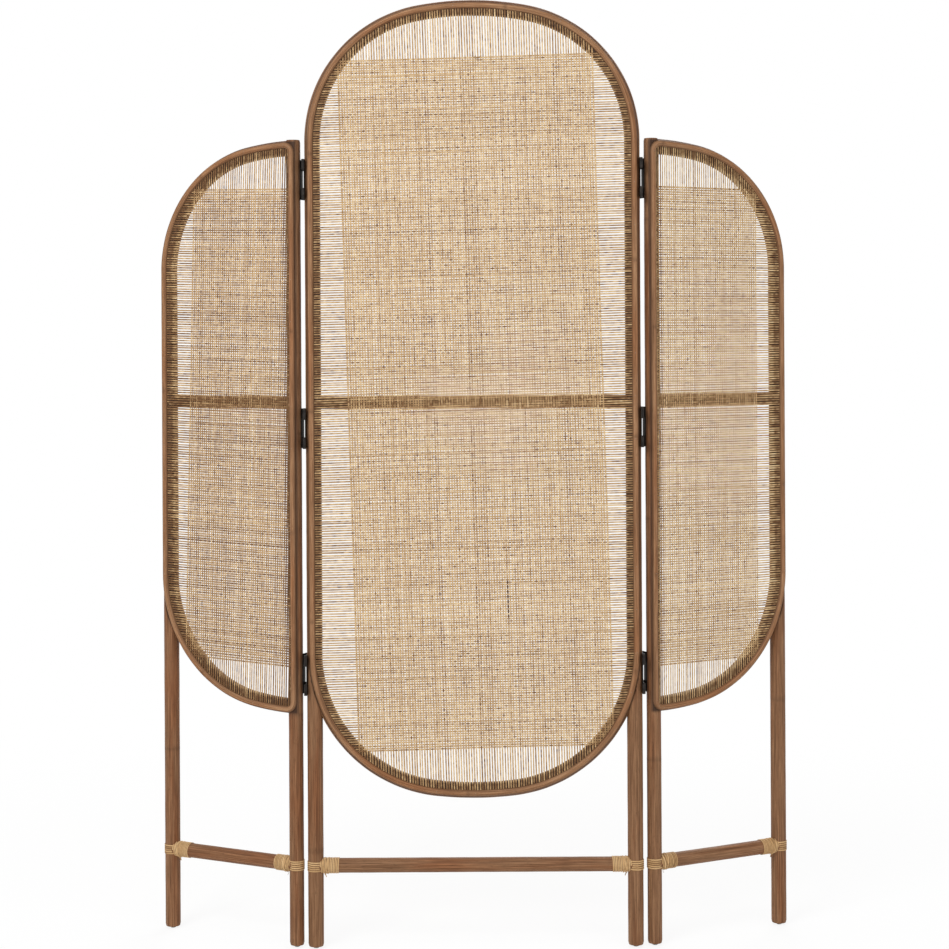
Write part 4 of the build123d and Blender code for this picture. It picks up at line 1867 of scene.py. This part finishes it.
@dataclass
class Studio:
    """White studio: floor, surrounding light, three soft lamps and the camera."""

    camera_height: float = 1.163
    camera_distance: float = 3.850
    camera_side: float = 0.003
    camera_roll: float = 0.0054
    lens: float = 76.8
    sensor: float = 36.0
    horizon_shift: float = -0.147
    ambient: tuple[float, float] = (0.28, 0.76)
    floor_glow: float = 0.86
    glow_reach: tuple[float, float] = (0.8, 2.4)
    floor_reach: float = 30.0
    light_from: Color = (0.0, -0.88, 0.47)

    def build(self) -> None:
        """Sets up everything round the object."""
        self.floor()
        self.world()
        self.lamp("key_softbox", (-2.0, -3.0, 3.6), (0.0, 0.0, 1.0), 1.8, 96.0)
        self.lamp("fill_softbox", (2.4, -3.0, 1.6), (0.0, 0.0, 0.9), 2.4, 18.0)
        self.lamp("back_softbox", (0.9, 3.2, 3.0), (0.0, 0.0, 1.0), 2.6, 62.0)
        self.camera()
        bpy.context.scene.view_settings.view_transform = "Standard"

    def seen_directly(self, tree: bpy.types.NodeTree) -> bpy.types.NodeSocket:
        """Tells what is looked at from what gives light.

        Args:
            tree: the node tree that needs it.

        Returns:
            1 for camera, glossy and transmission rays, and 0 for the light that falls on things.
        """
        path = tree.nodes.new("ShaderNodeLightPath")
        seen = path.outputs["Is Camera Ray"]
        for name in ("Is Glossy Ray", "Is Transmission Ray"):
            either = tree.nodes.new("ShaderNodeMath")
            either.operation = "MAXIMUM"
            tree.links.new(seen, either.inputs[0])
            tree.links.new(path.outputs[name], either.inputs[1])
            seen = either.outputs[0]
        return seen

    def world(self) -> None:
        """White surroundings: full white where they are seen, softer where they give light.

        The light they give grows from behind to the front and top, with the share
        0.5 + 0.5 (direction . light_from).
        """
        world = bpy.data.worlds.new("white_studio")
        bpy.context.scene.world = world
        world.use_nodes = True
        tree = world.node_tree
        background = tree.nodes["Background"]
        background.inputs["Color"].default_value = (1.0, 1.0, 1.0, 1.0)
        direction = tree.nodes.new("ShaderNodeTexCoord")
        towards = tree.nodes.new("ShaderNodeVectorMath")
        towards.operation = "DOT_PRODUCT"
        towards.inputs[1].default_value = self.light_from
        tree.links.new(direction.outputs["Generated"], towards.inputs[0])
        soft = tree.nodes.new("ShaderNodeMapRange")
        soft.inputs["From Min"].default_value = -1.0
        soft.inputs["To Min"].default_value = self.ambient[0]
        soft.inputs["To Max"].default_value = self.ambient[1]
        tree.links.new(towards.outputs["Value"], soft.inputs["Value"])
        strength = tree.nodes.new("ShaderNodeMapRange")
        strength.inputs["To Max"].default_value = 1.0
        tree.links.new(soft.outputs["Result"], strength.inputs["To Min"])
        tree.links.new(self.seen_directly(tree), strength.inputs["Value"])
        tree.links.new(strength.outputs["Result"], background.inputs["Strength"])

    def floor(self) -> None:
        """Pale floor that keeps a faint shadow of the feet."""
        mesh = bpy.data.meshes.new("studio_floor")
        reach = self.floor_reach
        corners = [(-reach, -reach, 0), (reach, -reach, 0), (reach, reach, 0), (-reach, reach, 0)]
        mesh.from_pydata(corners, [], [(0, 1, 2, 3)])
        material = bpy.data.materials.new("studio_floor_white")
        material.use_nodes = True
        tree = material.node_tree
        shader = tree.nodes["Principled BSDF"]
        shader.inputs["Base Color"].default_value = (0.93, 0.93, 0.93, 1.0)
        shader.inputs["Roughness"].default_value = 0.9
        glow = tree.nodes.new("ShaderNodeEmission")
        glow.inputs["Color"].default_value = (1.0, 1.0, 1.0, 1.0)
        place = tree.nodes.new("ShaderNodeTexCoord")
        away = tree.nodes.new("ShaderNodeVectorMath")
        away.operation = "LENGTH"
        tree.links.new(place.outputs["Object"], away.inputs[0])
        glowing = tree.nodes.new("ShaderNodeMapRange")
        glowing.interpolation_type = "SMOOTHSTEP"
        glowing.inputs["From Min"].default_value = self.glow_reach[0]
        glowing.inputs["From Max"].default_value = self.glow_reach[1]
        glowing.inputs["To Min"].default_value = self.floor_glow
        glowing.inputs["To Max"].default_value = 1.0
        tree.links.new(away.outputs["Value"], glowing.inputs["Value"])
        share = tree.nodes.new("ShaderNodeMath")
        share.operation = "MULTIPLY"
        tree.links.new(glowing.outputs["Result"], share.inputs[1])
        tree.links.new(self.seen_directly(tree), share.inputs[0])
        mix = tree.nodes.new("ShaderNodeMixShader")
        tree.links.new(share.outputs[0], mix.inputs[0])
        tree.links.new(shader.outputs[0], mix.inputs[1])
        tree.links.new(glow.outputs[0], mix.inputs[2])
        tree.links.new(mix.outputs[0], tree.nodes["Material Output"].inputs["Surface"])
        mesh.materials.append(material)
        floor = bpy.data.objects.new("studio_floor", mesh)
        bpy.context.scene.collection.objects.link(floor)

    def lamp(self, name: str, place: Point, target: Point, size: float, power: float) -> None:
        """Square soft lamp that looks at a point.

        Args:
            name: its name.
            place: where it stands.
            target: the point that it looks at.
            size: length of its sides in metres.
            power: its power in watts.
        """
        data = bpy.data.lights.new(name, "AREA")
        data.size = size
        data.energy = power
        lamp = bpy.data.objects.new(name, data)
        lamp.location = place
        away = Vector(place) - Vector(target)
        lamp.rotation_euler = away.to_track_quat("Z", "Y").to_euler()
        bpy.context.scene.collection.objects.link(lamp)

    def camera(self) -> None:
        """Level camera with the lens, height and slight roll of the photograph."""
        data = bpy.data.cameras.new("view")
        data.sensor_width = self.sensor
        data.lens = self.lens
        data.shift_y = self.horizon_shift
        camera = bpy.data.objects.new("view", data)
        plane = SIZES.depth_middle * MM
        camera.location = (self.camera_side, -self.camera_distance - plane, self.camera_height)
        camera.rotation_euler = (QUARTER, self.camera_roll, 0.0)
        bpy.context.scene.collection.objects.link(camera)
        bpy.context.scene.camera = camera


def main() -> None:
    """Builds the screen panel by panel, then its hinges and the studio."""
    logging.basicConfig(level=logging.INFO, format="%(name)s: %(message)s")
    finishes = Finishes()
    CentrePanel("centre", "centre_panel", CENTRE_RING, Placement(), finishes, seed=11).build()
    for side, seed, turn, tone in ((Side.RIGHT, 200, 0.1, 0.1), (Side.LEFT, 300, 1.6, -0.55)):
        placement = Placement(folded=True, mirrored=side is Side.LEFT, shift=SIZES.side_x)
        panel = SidePanel(side.value, f"{side.value}_panel", SIDE_RING, placement, finishes, seed)
        panel.weave_turn, panel.weave_tone = math.radians(turn), tone
        panel.build()
        Hinges(side, finishes).build()
    Studio().build()


if __name__ == "__main__":
    main()
